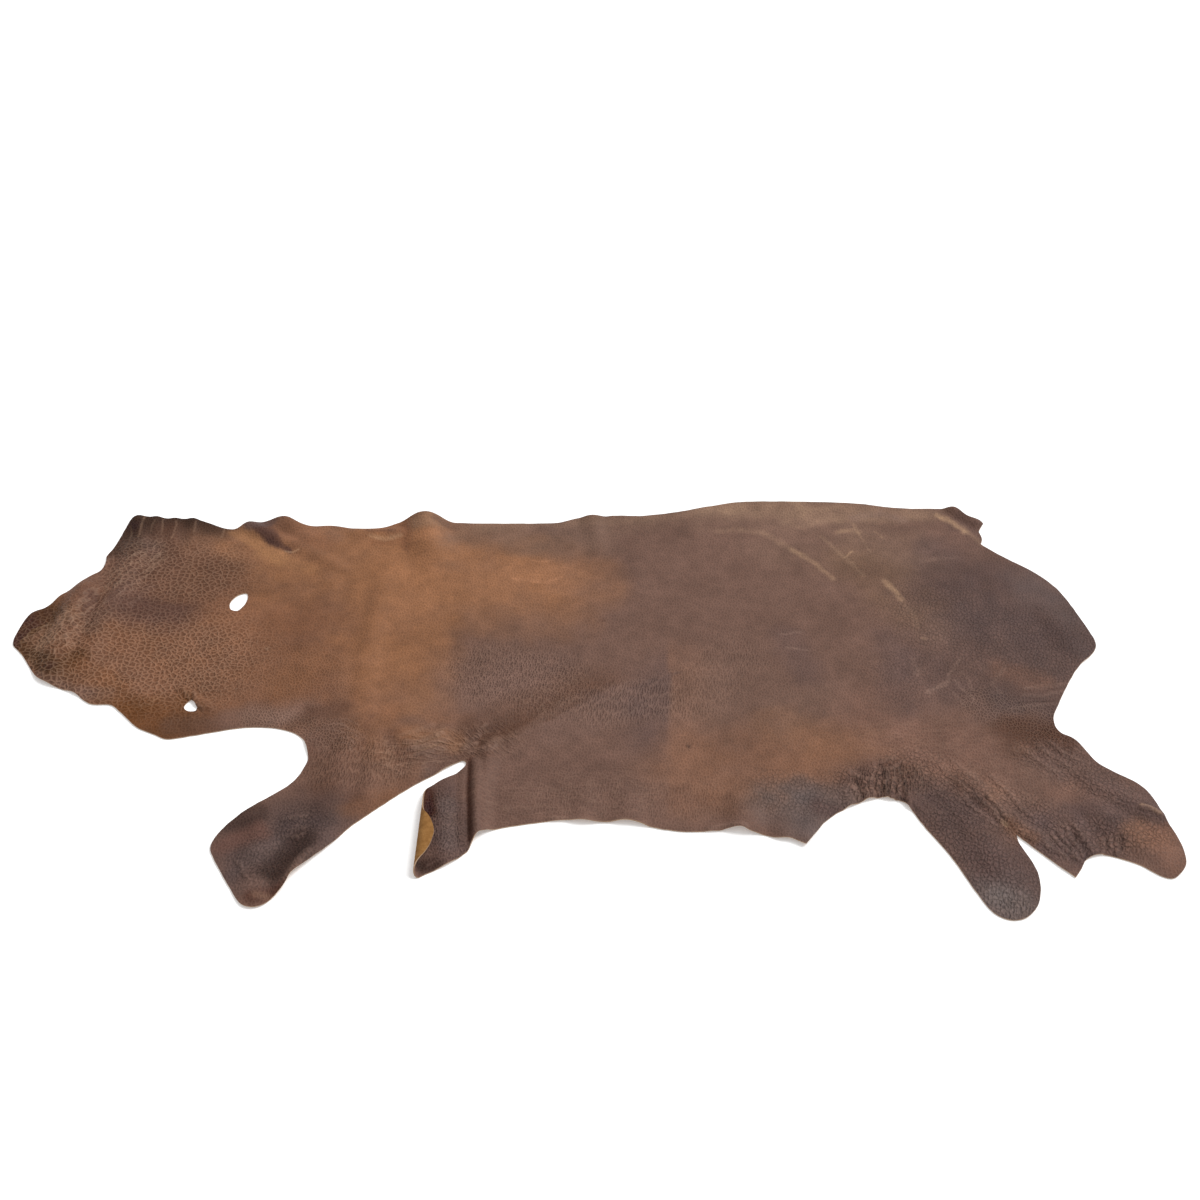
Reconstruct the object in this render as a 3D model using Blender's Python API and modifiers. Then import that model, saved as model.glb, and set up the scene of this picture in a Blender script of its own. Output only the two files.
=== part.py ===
"""Bison leather: one tanned side of a bison hide, lying grain side up on a flat surface.

The head is at -X, the rump at +X, the backbone edge at +Y, and the belly with both legs at -Y.
The sheet touches the surface at z = 0, rises from it in soft ridges and ripples, and rolls over
on itself at the brisket flap. Every table is in centimetres, as places on the hide spread flat;
the model is in metres.
"""

import math
from typing import NamedTuple

import bmesh
import bpy
from mathutils import Vector
from mathutils.geometry import delaunay_2d_cdt, interpolate_bezier
from mathutils.kdtree import KDTree

CM = 0.01
THICKNESS = 0.22

# The brisket flap's left end rolls up about a line that runs nearly along Y, below the elbow slit.
ROLL_X = -25.4
ROLL_Y = -38.0
ROLL_SLANT = 0.03
ROLL_RADIUS = 1.3
ROLL_DROOP = 0.15
SLIT_X = -20.0
SLIT_Y = -22.3
SLIT_SLOPE = 0.87
FLAP_LEFT = -33.0
FLAP_LOW = -52.0

# The folds' crests wander a little from their straight lines, and fade out gently past their ends.
WANDER = 0.7
WANDER_RUN = 7.0
END_TAPER = 0.6

# Spacing of the sheet's points: close on narrow folds, wider on broad ones, wide where it is flat.
PITCH = 1.15
NARROW_EVERY = 1
BROAD_EVERY = 2
FLAT_EVERY = 6
NARROW_FOLD = 5.0
EDGE_STEP = 1.5
ROLL_STEP = 0.5
ROLL_ROW = 1.3
EDGE_ROOM = 0.75
ROLL_EDGE_ROOM = 0.3
TINY = 1e-5


class Edge(NamedTuple):
    """A point of the cut edge, in cm. The edge turns softly there unless it is a corner."""

    x: float
    y: float
    corner: bool = False


class Fold(NamedTuple):
    """A soft ridge: its crest runs from (x1, y1) to (x2, y2), with its height at each end, in cm."""

    name: str
    x1: float
    y1: float
    x2: float
    y2: float
    breadth: float
    rise1: float
    rise2: float


HEAD_EDGE = (
    Edge(-113.1, 12.5), Edge(-113.0, 16.5), Edge(-111.5, 22.0), Edge(-109.0, 23.8), Edge(-108.0, 25.0),
    Edge(-106.5, 28.0), Edge(-104.0, 29.5), Edge(-101.5, 34.0), Edge(-99.6, 36.0), Edge(-99.0, 38.5),
    Edge(-99.3, 40.5, corner=True), Edge(-98.0, 44.5), Edge(-97.0, 50.0), Edge(-96.0, 54.0), Edge(-94.0, 54.7),
)
NECK_EDGE = (
    Edge(-87.5, 53.8), Edge(-82.5, 53.6), Edge(-79.5, 52.5), Edge(-75.6, 50.5), Edge(-72.6, 50.1),
    Edge(-69.4, 51.6), Edge(-65.3, 53.2), Edge(-62.0, 53.0), Edge(-58.2, 51.0), Edge(-52.0, 51.3),
    Edge(-45.7, 49.9), Edge(-41.5, 50.1), Edge(-37.5, 52.3),
)
BACK_EDGE = (
    Edge(-34.5, 53.2), Edge(-31.4, 53.2), Edge(-28.9, 53.0), Edge(-25.1, 52.2), Edge(-13.0, 52.1),
    Edge(-2.5, 52.4), Edge(1.5, 53.9), Edge(5.5, 54.2), Edge(10.0, 54.9), Edge(15.5, 54.8), Edge(24.0, 56.3),
    Edge(30.5, 58.2), Edge(37.0, 59.1), Edge(49.0, 59.2), Edge(58.0, 58.9), Edge(70.0, 57.9), Edge(76.0, 57.3),
    Edge(82.0, 57.3), Edge(85.0, 56.8),
)
TAIL_EDGE = (
    Edge(87.2, 53.9), Edge(89.7, 52.3), Edge(90.3, 51.4, corner=True), Edge(89.2, 49.4), Edge(89.5, 46.8),
    Edge(88.9, 44.9, corner=True),
)
RUMP_EDGE = (
    Edge(92.0, 41.6), Edge(99.0, 35.2), Edge(102.3, 30.8), Edge(104.5, 25.5), Edge(107.5, 14.5),
    Edge(107.6, 11.8), Edge(106.5, 9.5), Edge(103.3, 6.0), Edge(101.3, 3.0), Edge(96.0, -7.5),
    Edge(95.3, -10.0), Edge(95.6, -12.5),
)
HOCK_EDGE = (
    Edge(97.7, -15.4), Edge(99.6, -17.6), Edge(101.5, -21.3), Edge(104.0, -23.8), Edge(108.0, -26.9),
    Edge(110.1, -30.2), Edge(111.0, -34.2), Edge(113.0, -42.0), Edge(113.1, -46.0), Edge(112.3, -48.6),
    Edge(109.8, -50.9), Edge(107.6, -50.2), Edge(104.0, -47.4), Edge(98.6, -45.3), Edge(96.2, -45.7),
    Edge(94.8, -46.6), Edge(93.6, -48.8), Edge(92.3, -50.7, corner=True), Edge(89.0, -47.1),
    Edge(85.5, -43.0), Edge(83.2, -40.3, corner=True),
)
SHANK_EDGE = (
    Edge(83.4, -42.3), Edge(85.3, -47.8), Edge(85.7, -51.5), Edge(84.7, -56.5), Edge(82.4, -59.8),
    Edge(80.0, -60.7), Edge(77.5, -60.0), Edge(75.4, -57.6), Edge(70.4, -45.4), Edge(66.4, -37.8),
    Edge(64.6, -33.8), Edge(63.4, -32.1), Edge(61.5, -31.4), Edge(59.0, -30.9), Edge(56.5, -31.6),
    Edge(51.0, -34.6), Edge(48.3, -37.1), Edge(46.1, -40.3), Edge(44.3, -43.0, corner=True),
)
BELLY_EDGE = (
    Edge(41.8, -41.6), Edge(39.0, -41.1), Edge(36.5, -40.2), Edge(34.5, -39.8), Edge(32.6, -39.2),
    Edge(30.8, -39.1), Edge(22.5, -39.5), Edge(17.5, -38.7), Edge(12.0, -37.3), Edge(4.0, -37.2),
    Edge(-1.0, -36.7), Edge(-9.7, -38.1), Edge(-13.8, -39.3), Edge(-15.3, -40.3), Edge(-16.2, -41.4),
    Edge(-17.7, -44.5, corner=True),
)
FLAP_EDGE = (
    Edge(-20.0, -46.8), Edge(-22.8, -48.7), Edge(-25.2, -50.1), Edge(-26.5, -50.8), Edge(-27.5, -50.3),
    Edge(-28.7, -48.9), Edge(-30.2, -46.6), Edge(-31.1, -43.7), Edge(-31.2, -40.7), Edge(-30.2, -38.1),
    Edge(-28.4, -35.4), Edge(-27.6, -32.6), Edge(-26.3, -29.0), Edge(-24.3, -27.2), Edge(-21.6, -25.5),
    Edge(-19.5, -23.5), Edge(-18.9, -21.9), Edge(-19.5, -21.2),
)
FORELEG_EDGE = (
    Edge(-20.9, -21.8), Edge(-24.5, -24.6), Edge(-29.0, -28.0), Edge(-39.0, -37.6), Edge(-42.3, -42.1),
    Edge(-45.5, -46.0), Edge(-48.5, -49.8), Edge(-50.4, -53.7), Edge(-53.0, -56.9), Edge(-55.1, -57.8),
    Edge(-57.1, -57.1), Edge(-59.0, -54.4), Edge(-63.6, -46.2), Edge(-64.6, -43.6), Edge(-64.2, -41.3),
    Edge(-62.8, -38.5), Edge(-60.2, -34.9), Edge(-56.8, -31.8), Edge(-52.6, -28.2), Edge(-51.0, -26.2),
    Edge(-49.8, -23.2), Edge(-49.3, -20.5), Edge(-50.1, -16.8),
)
THROAT_EDGE = (
    Edge(-51.4, -14.5), Edge(-54.0, -12.9), Edge(-58.0, -11.9), Edge(-62.5, -11.9), Edge(-67.0, -12.8),
    Edge(-75.9, -15.0), Edge(-77.8, -15.0), Edge(-80.2, -13.7), Edge(-83.7, -11.8), Edge(-88.1, -7.1),
    Edge(-90.0, -5.5), Edge(-93.6, -5.4), Edge(-95.4, -4.3), Edge(-97.6, -2.2), Edge(-100.2, -1.1),
    Edge(-103.2, 0.3), Edge(-105.9, 2.1), Edge(-107.7, 4.6), Edge(-109.8, 8.0), Edge(-111.5, 10.3),
)
HIDE_EDGE = (
    HEAD_EDGE + NECK_EDGE + BACK_EDGE + TAIL_EDGE + RUMP_EDGE + HOCK_EDGE
    + SHANK_EDGE + BELLY_EDGE + FLAP_EDGE + FORELEG_EDGE + THROAT_EDGE
)

EYE_HOLE = (
    Edge(-70.7, 24.8), Edge(-70.3, 26.4), Edge(-69.1, 28.0), Edge(-67.6, 28.4), Edge(-67.1, 26.9),
    Edge(-67.6, 24.5), Edge(-68.8, 22.7), Edge(-70.1, 23.1),
)
CHEEK_HOLE = (
    Edge(-75.3, -6.3), Edge(-74.9, -4.9), Edge(-74.2, -4.3), Edge(-73.5, -4.8), Edge(-72.6, -6.4),
    Edge(-72.8, -7.2), Edge(-73.7, -7.5), Edge(-74.7, -7.2),
)

FOLDS = (
    Fold("muzzle", -102.5, 27.0, -103.5, 4.0, 9.0, 1.9, 1.2),
    Fold("brow", -94.0, 42.0, -96.0, 9.0, 9.0, 1.1, 0.8),
    Fold("jaw", -93.0, 4.0, -97.0, -1.0, 6.0, 0.5, 0.5),
    Fold("poll ruffle 1", -94.5, 55.0, -93.0, 45.0, 4.0, 0.45, 0.2),
    Fold("poll ruffle 2", -90.0, 54.5, -89.5, 46.0, 3.6, 0.35, 0.2),
    Fold("poll ruffle 3", -86.0, 54.5, -85.5, 46.0, 3.6, 0.35, 0.2),
    Fold("poll ruffle 4", -82.0, 54.0, -81.5, 46.0, 3.6, 0.4, 0.2),
    Fold("nape tuck", -70.5, 52.0, -50.0, 37.0, 6.0, 1.3, 0.4),
    Fold("nape edge", -62.0, 54.5, -56.0, 45.0, 8.5, 1.6, 0.4),
    Fold("crest roll", -45.0, 48.5, -37.0, 49.5, 5.0, 0.6, 0.6),
    Fold("withers buckle", -31.3, 57.0, -28.5, 35.0, 12.4, 3.0, 0.3),
    Fold("back bump", 5.5, 55.5, 6.5, 44.0, 7.0, 0.9, 0.2),
    Fold("loin", 39.0, 59.5, 64.0, 59.0, 10.0, 0.6, 0.6),
    Fold("tail tag", 85.5, 56.5, 89.5, 52.5, 5.0, 0.9, 0.9),
    Fold("hip", 100.0, 22.5, 103.5, 11.5, 8.0, 0.35, 0.35),
    Fold("thigh", 97.0, -15.5, 86.0, -18.0, 6.5, 0.8, 0.3),
    Fold("shoulder 1", -50.5, 30.0, -52.0, 4.0, 8.0, 0.3, 0.3),
    Fold("shoulder 2", -39.5, 30.5, -40.5, -10.0, 7.0, 0.5, 0.4),
    Fold("forearm", -42.0, -16.5, -44.0, -39.5, 8.0, 0.6, 0.6),
    Fold("elbow side", -37.0, -14.5, -36.5, -29.0, 6.0, 0.5, 0.5),
    Fold("throat", -42.5, -7.5, -48.5, -16.0, 7.0, 0.6, 0.6),
    Fold("elbow", -24.5, -14.5, -28.0, -23.0, 6.0, 0.6, 0.6),
    Fold("armpit 1", -17.0, -11.0, -9.0, -5.5, 9.0, 1.1, 1.0),
    Fold("armpit 2", -9.0, -5.5, 1.0, 2.0, 9.0, 1.0, 0.3),
    Fold("brisket", -15.0, -18.0, -15.0, -39.5, 6.0, 1.0, 1.1),
    Fold("flap", -22.0, -25.0, -21.5, -47.0, 6.0, 0.5, 0.5),
    Fold("belly ripple 1", 4.0, -37.0, 4.5, -28.0, 7.0, 0.6, 0.2),
    Fold("belly ripple 2", 12.5, -37.0, 12.5, -26.5, 8.0, 0.7, 0.2),
    Fold("belly ripple 3", 33.5, -38.5, 34.5, -28.0, 9.0, 1.1, 0.3),
    Fold("belly ripple 4", 41.5, -41.0, 42.0, -32.0, 8.0, 0.7, 0.2),
    Fold("flank", 44.5, -41.5, 48.5, -32.0, 7.0, 0.7, 0.3),
    Fold("groin 1", 54.0, -32.0, 53.5, -24.0, 4.0, 0.5, 0.2),
    Fold("groin 2", 57.7, -30.5, 58.0, -23.0, 4.0, 0.5, 0.2),
    Fold("groin 3", 61.3, -30.5, 62.0, -22.5, 4.0, 0.5, 0.2),
    Fold("groin 4", 65.0, -32.0, 67.0, -24.5, 4.0, 0.5, 0.2),
    Fold("shank", 76.0, -27.5, 86.5, -41.0, 6.0, 0.5, 0.5),
    Fold("hock", 100.0, -25.5, 109.5, -34.0, 7.0, 0.5, 0.5),
    Fold("spur", 95.5, -37.0, 96.5, -44.5, 4.5, 0.4, 0.4),
    Fold("hind foot", 100.5, -35.0, 109.0, -46.0, 9.0, 0.8, 0.7),
    Fold("shank foot", 77.0, -42.5, 80.5, -56.0, 9.0, 0.5, 0.5),
    Fold("fore foot", -56.0, -39.0, -56.0, -54.5, 9.0, 0.6, 0.6),
    Fold("fore foot edge", -45.0, -42.5, -50.5, -52.5, 7.0, 0.9, 1.0),
    Fold("cheek", -76.0, -1.0, -71.5, -5.5, 3.5, 0.6, 0.6),
)


def empty_scene():
    for item in list(bpy.data.objects):
        bpy.data.objects.remove(item, do_unlink=True)


def roll_line(y):
    """The x at which the flap starts to roll up, at this y."""
    return ROLL_X + ROLL_SLANT * (y - ROLL_Y)


def past_roll(x, y):
    """How far a place on the flat flap lies past the roll's start; negative elsewhere."""
    below_slit = y < SLIT_Y + SLIT_SLOPE * (x - SLIT_X)
    return roll_line(y) - x if below_slit and x > FLAP_LEFT else -1.0


def from_crest(fold, x, y):
    """The distance from a fold's crest, less beyond its ends, and how far along it, 0 to 1."""
    x, y = x + WANDER * math.sin(y / WANDER_RUN), y + WANDER * math.sin(x / WANDER_RUN)
    run_x, run_y = fold.x2 - fold.x1, fold.y2 - fold.y1
    length = math.hypot(run_x, run_y)
    along = ((x - fold.x1) * run_x + (y - fold.y1) * run_y) / length
    aside = ((y - fold.y1) * run_x - (x - fold.x1) * run_y) / length
    past_end = max(0.0, -along, along - length)
    return math.hypot(aside, past_end * END_TAPER), min(1.0, max(0.0, along / length))


def fold_height(x, y):
    """Height of the sheet's underside: soft ridges that run into each other without a crease."""
    total = 0.0
    for fold in FOLDS:
        distance, along = from_crest(fold, x, y)
        if distance < fold.breadth / 2.0:
            crest = fold.rise1 + (fold.rise2 - fold.rise1) * along
            total += (crest * math.cos(math.pi * distance / fold.breadth) ** 2) ** 3
    return total ** (1.0 / 3.0)


def lay_down(x, y):
    """Where a place on the flat hide comes to lie, in metres."""
    past = past_roll(x, y)
    if past <= 0.0:
        return Vector((x, y, fold_height(x, y))) * CM
    turn = min(past / ROLL_RADIUS, math.pi)
    beyond = past - turn * ROLL_RADIUS
    lie_x = roll_line(y) - ROLL_RADIUS * math.sin(turn) + beyond
    lie_z = ROLL_RADIUS * (1.0 - math.cos(turn)) - ROLL_DROOP * beyond
    lie_z += fold_height(roll_line(y), y)
    return Vector((lie_x, y, lie_z)) * CM


def handles(before, start, end, after):
    """Bezier handles between start and end, on a curve that also passes before and after."""
    gap = (end - start).length
    leave = (end - before) / ((start - before).length + gap)
    arrive = (after - start) / ((after - end).length + gap)
    return start + leave * gap / 3.0, end - arrive * gap / 3.0


def edge_loop(rows):
    """A closed edge through its rows, as evenly spaced points, soft except at the corners."""
    knots = [Vector((row.x, row.y)) for row in rows]
    loop = []
    for i, row in enumerate(rows):
        following = (i + 1) % len(rows)
        start, end = knots[i], knots[following]
        before = start if row.corner else knots[i - 1]
        after = end if rows[following].corner else knots[(i + 2) % len(rows)]
        handle1, handle2 = handles(before, start, end, after)
        step = ROLL_STEP if past_roll(*start) > 0.0 else EDGE_STEP
        count = max(1, round((end - start).length / step))
        loop += interpolate_bezier(start, handle1, handle2, end, count + 1)[:-1]
    return loop


def lattice_step(x, y):
    """How many of the finest lattice steps lie between points here."""
    step = FLAT_EVERY
    for fold in FOLDS:
        every = NARROW_EVERY if fold.breadth < NARROW_FOLD else BROAD_EVERY
        if every < step and from_crest(fold, x, y)[0] < fold.breadth / 2.0 + every * PITCH:
            step = every
    return step


def lattice_points(low, high):
    """Points of a triangular lattice between two corners, thinned where the sheet is flat."""
    row_gap = PITCH * math.sin(math.radians(60.0))
    points = []
    for j in range(int((high.y - low.y) / row_gap) + 1):
        y = low.y + j * row_gap
        first = -(j // 2)
        for i in range(first, first + int((high.x - low.x) / PITCH) + 1):
            x = low.x + (i + j / 2.0) * PITCH
            step = lattice_step(x, y)
            if i % step == 0 and j % step == 0 and past_roll(x, y) < 0.0:
                points.append(Vector((x, y)))
    return points


def roll_points():
    """Rows of points across the flap's roll, one row for each step around it."""
    points = []
    rows = int((SLIT_Y - FLAP_LOW) / ROLL_ROW)
    steps = int((ROLL_X - FLAP_LEFT) / ROLL_STEP)
    for row in range(rows + 1):
        y = FLAP_LOW + row * ROLL_ROW
        for step in range(steps + 1):
            x = roll_line(y) - step * ROLL_STEP - TINY
            if past_roll(x, y) > 0.0:
                points.append(Vector((x, y)))
    return points


def clear_of(edge, points):
    """The points that are not crowded against the edge."""
    tree = KDTree(len(edge))
    for i, place in enumerate(edge):
        tree.insert(place.to_3d(), i)
    tree.balance()
    kept = []
    for point in points:
        room = ROLL_EDGE_ROOM if past_roll(*point) > 0.0 else EDGE_ROOM
        if tree.find(point.to_3d())[2] > room:
            kept.append(point)
    return kept


def flat_pattern():
    """The hide spread flat, triangulated: places on it, and triangles that leave the holes open."""
    loops = [edge_loop(HIDE_EDGE), edge_loop(EYE_HOLE), edge_loop(CHEEK_HOLE)]
    edge = [point for loop in loops for point in loop]
    rings = []
    for loop in loops:
        first = sum(len(ring) for ring in rings)
        rings.append(list(reversed(range(first, first + len(loop)))))
    low = Vector((min(p.x for p in edge), min(p.y for p in edge)))
    high = Vector((max(p.x for p in edge), max(p.y for p in edge)))
    inner = clear_of(edge, lattice_points(low, high) + roll_points())
    places, _, triangles, _, _, owners = delaunay_2d_cdt(edge + inner, [], rings, 1, TINY)
    return places, [face for face, owner in zip(triangles, owners) if owner == [0]]


def leather_sheet(name):
    """The underside of the hide as it lies; thickness is added on the grain side."""
    places, triangles = flat_pattern()
    mesh = bpy.data.meshes.new(name)
    mesh.from_pydata([lay_down(*place) for place in places], [], triangles)
    work = bmesh.new()
    work.from_mesh(mesh)
    loose = [vert for vert in work.verts if not vert.link_faces]
    bmesh.ops.delete(work, geom=loose, context="VERTS")
    work.to_mesh(mesh)
    work.free()
    mesh.shade_smooth()
    hide = bpy.data.objects.new(name, mesh)
    skin = hide.modifiers.new("thickness", "SOLIDIFY")
    skin.thickness = THICKNESS * CM
    skin.offset = 1.0
    return hide


def waxed_leather():
    """Pull-up leather in a warm dark brown, softly glossy."""
    material = bpy.data.materials.new("waxed bison leather")
    material.use_nodes = True
    shader = material.node_tree.nodes["Principled BSDF"]
    shader.inputs["Base Color"].default_value = (0.165, 0.098, 0.072, 1.0)
    shader.inputs["Roughness"].default_value = 0.55
    shader.inputs["Metallic"].default_value = 0.0
    return material


def build():
    empty_scene()
    collection = bpy.data.collections.new("bison leather")
    bpy.context.scene.collection.children.link(collection)
    hide = leather_sheet("hide")
    hide.data.materials.append(waxed_leather())
    collection.objects.link(hide)


build()
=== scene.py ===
# %% [markdown]
# # A side of bison leather
#
# Half of one bison hide, tanned, waxed and laid grain side up on a flat surface. The head is at -X,
# the rump at +X, the backbone edge at +Y, and the belly with both legs at -Y. It is one piece of
# leather, so the scene holds one object: a thin closed sheet with the hide's outline, its folds and
# creases, and three finishes, for the grain side, the flesh side and the cut edge.

# %% The tools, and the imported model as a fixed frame
import math
from typing import NamedTuple

import bmesh
import bpy
import numpy as np
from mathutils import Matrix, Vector
from mathutils.geometry import delaunay_2d_cdt, interpolate_bezier
from mathutils.kdtree import KDTree


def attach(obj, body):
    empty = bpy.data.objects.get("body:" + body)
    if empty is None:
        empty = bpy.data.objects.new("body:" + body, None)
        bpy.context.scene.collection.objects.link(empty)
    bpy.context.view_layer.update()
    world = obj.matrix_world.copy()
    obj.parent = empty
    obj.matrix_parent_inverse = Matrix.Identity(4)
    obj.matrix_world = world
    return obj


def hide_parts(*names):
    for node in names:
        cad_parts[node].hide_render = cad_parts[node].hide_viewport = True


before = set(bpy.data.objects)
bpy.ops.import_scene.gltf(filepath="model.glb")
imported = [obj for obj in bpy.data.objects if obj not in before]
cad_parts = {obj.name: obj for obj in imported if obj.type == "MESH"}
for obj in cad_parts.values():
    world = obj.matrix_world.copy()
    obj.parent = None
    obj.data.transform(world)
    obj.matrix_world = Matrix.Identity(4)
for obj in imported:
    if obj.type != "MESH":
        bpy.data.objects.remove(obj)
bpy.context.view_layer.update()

# %% [markdown]
# ## Sizes
#
# The tables below are in centimetres, as places on the hide spread flat, because that is how a
# leather worker measures a side. The mesh is in metres. The brisket flap behind the foreleg rolls
# up at its left end, about a line that runs nearly along Y, so it has a few sizes of its own.

# %% Thickness, and the roll of the brisket flap
CM = 0.01
THICKNESS = 0.22

ROLL_X = -25.4
ROLL_Y = -38.0
ROLL_SLANT = 0.03
ROLL_RADIUS = 1.3
ROLL_DROOP = 0.15
SLIT_X = -20.0
SLIT_Y = -22.3
SLIT_SLOPE = 0.87
FLAP_LEFT = -33.0
print(f"leather {THICKNESS * 10:.1f} mm thick, rolled about a radius of {ROLL_RADIUS * 10:.0f} mm")

# %% [markdown]
# ## The cut edge
#
# The edge was trimmed by hand along the animal's own outline, so it is a closed curve through a few
# named stretches. Each row is a point that the curve passes; it turns softly there unless the row
# says that it is a corner. Two natural holes go through the leather, by the eye and in the cheek.
# The tables here and below are plain rows under a named kind, whose fields are their columns.

# %% The points of the cut edge
def table(kind, *rows):
    """Rows of one kind, with its fields as their columns."""
    return tuple(kind(*row) for row in rows)


class Edge(NamedTuple):
    """A point of the cut edge. The edge turns softly there unless it is a corner."""

    x: float
    y: float
    corner: bool = False


HEAD_EDGE = table(
    Edge,
    (-113.1, 12.5), (-113.0, 16.5), (-111.5, 22.0), (-109.0, 23.8), (-108.0, 25.0), (-106.5, 28.0),
    (-104.0, 29.5), (-101.5, 34.0), (-99.6, 36.0), (-99.0, 38.5), (-99.3, 40.5, True), (-98.0, 44.5),
    (-97.0, 50.0), (-96.0, 54.0), (-94.0, 54.7),
)
NECK_EDGE = table(
    Edge,
    (-87.5, 53.8), (-82.5, 53.6), (-79.5, 52.5), (-75.6, 50.5), (-72.6, 50.1), (-69.4, 51.6),
    (-65.3, 53.2), (-62.0, 53.0), (-58.2, 51.0), (-52.0, 51.3), (-45.7, 49.9), (-41.5, 50.1),
    (-37.5, 52.3),
)
BACK_EDGE = table(
    Edge,
    (-34.5, 53.2), (-31.4, 53.2), (-28.9, 53.0), (-25.1, 52.2), (-13.0, 52.1), (-2.5, 52.4),
    (1.5, 53.9), (5.5, 54.2), (10.0, 54.9), (15.5, 54.8), (24.0, 56.3), (30.5, 58.2), (37.0, 59.1),
    (49.0, 59.2), (58.0, 58.9), (70.0, 57.9), (76.0, 57.3), (82.0, 57.3), (85.0, 56.8),
)
TAIL_EDGE = table(
    Edge,
    (87.2, 53.9), (89.7, 52.3), (90.3, 51.4, True), (89.2, 49.4), (89.5, 46.8), (88.9, 44.9, True),
)
RUMP_EDGE = table(
    Edge,
    (92.0, 41.6), (99.0, 35.2), (102.3, 30.8), (104.5, 25.5), (107.5, 14.5), (107.6, 11.8),
    (106.5, 9.5), (103.3, 6.0), (101.3, 3.0), (96.0, -7.5), (95.3, -10.0), (95.6, -12.5),
)
HOCK_EDGE = table(
    Edge,
    (97.7, -15.4), (99.6, -17.6), (101.5, -21.3), (104.0, -23.8), (108.0, -26.9), (110.1, -30.2),
    (111.0, -34.2), (113.0, -42.0), (113.1, -46.0), (112.3, -48.6), (109.8, -50.9), (107.6, -50.2),
    (104.0, -47.4), (98.6, -45.3), (96.2, -45.7), (94.8, -46.6), (93.6, -48.8), (92.3, -50.7, True),
    (89.0, -47.1), (85.5, -43.0), (83.2, -40.3, True),
)
SHANK_EDGE = table(
    Edge,
    (83.4, -42.3), (85.3, -47.8), (85.7, -51.5), (84.7, -56.5), (82.4, -59.8), (80.0, -60.7),
    (77.5, -60.0), (75.4, -57.6), (70.4, -45.4), (66.4, -37.8), (64.6, -33.8), (63.4, -32.1),
    (61.5, -31.4), (59.0, -30.9), (56.5, -31.6), (51.0, -34.6), (48.3, -37.1), (46.1, -40.3),
    (44.3, -43.0, True),
)
BELLY_EDGE = table(
    Edge,
    (41.8, -41.6), (39.0, -41.1), (36.5, -40.2), (34.5, -39.8), (32.6, -39.2), (30.8, -39.1),
    (22.5, -39.5), (17.5, -38.7), (12.0, -37.3), (4.0, -37.2), (-1.0, -36.7), (-9.7, -38.1),
    (-13.8, -39.3), (-15.3, -40.3), (-16.2, -41.4), (-17.7, -44.5, True),
)
FLAP_EDGE = table(
    Edge,
    (-20.0, -46.8), (-22.8, -48.7), (-25.2, -50.1), (-26.5, -50.8), (-27.5, -50.3), (-28.7, -48.9),
    (-30.2, -46.6), (-31.1, -43.7), (-31.2, -40.7), (-30.2, -38.1), (-28.4, -35.4), (-27.6, -32.6),
    (-26.3, -29.0), (-24.3, -27.2), (-21.6, -25.5), (-19.5, -23.5), (-18.9, -21.9), (-19.5, -21.2),
)
FORELEG_EDGE = table(
    Edge,
    (-20.9, -21.8), (-24.5, -24.6), (-29.0, -28.0), (-39.0, -37.6), (-42.3, -42.1), (-45.5, -46.0),
    (-48.5, -49.8), (-50.4, -53.7), (-53.0, -56.9), (-55.1, -57.8), (-57.1, -57.1), (-59.0, -54.4),
    (-63.6, -46.2), (-64.6, -43.6), (-64.2, -41.3), (-62.8, -38.5), (-60.2, -34.9), (-56.8, -31.8),
    (-52.6, -28.2), (-51.0, -26.2), (-49.8, -23.2), (-49.3, -20.5), (-50.1, -16.8),
)
THROAT_EDGE = table(
    Edge,
    (-51.4, -14.5), (-54.0, -12.9), (-58.0, -11.9), (-62.5, -11.9), (-67.0, -12.8), (-75.9, -15.0),
    (-77.8, -15.0), (-80.2, -13.7), (-83.7, -11.8), (-88.1, -7.1), (-90.0, -5.5), (-93.6, -5.4),
    (-95.4, -4.3), (-97.6, -2.2), (-100.2, -1.1), (-103.2, 0.3), (-105.9, 2.1), (-107.7, 4.6),
    (-109.8, 8.0), (-111.5, 10.3),
)
HIDE_EDGE = (
    HEAD_EDGE + NECK_EDGE + BACK_EDGE + TAIL_EDGE + RUMP_EDGE + HOCK_EDGE
    + SHANK_EDGE + BELLY_EDGE + FLAP_EDGE + FORELEG_EDGE + THROAT_EDGE
)

EYE_HOLE = table(
    Edge,
    (-70.7, 24.8), (-70.3, 26.4), (-69.1, 28.0), (-67.6, 28.4), (-67.1, 26.9), (-67.6, 24.5),
    (-68.8, 22.7), (-70.1, 23.1),
)
CHEEK_HOLE = table(
    Edge,
    (-75.3, -6.3), (-74.9, -4.9), (-74.2, -4.3), (-73.5, -4.8), (-72.6, -6.4), (-72.8, -7.2),
    (-73.7, -7.5), (-74.7, -7.2),
)
print(f"{len(HIDE_EDGE)} points on the outline, {len(EYE_HOLE) + len(CHEEK_HOLE)} on the two holes")
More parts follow.
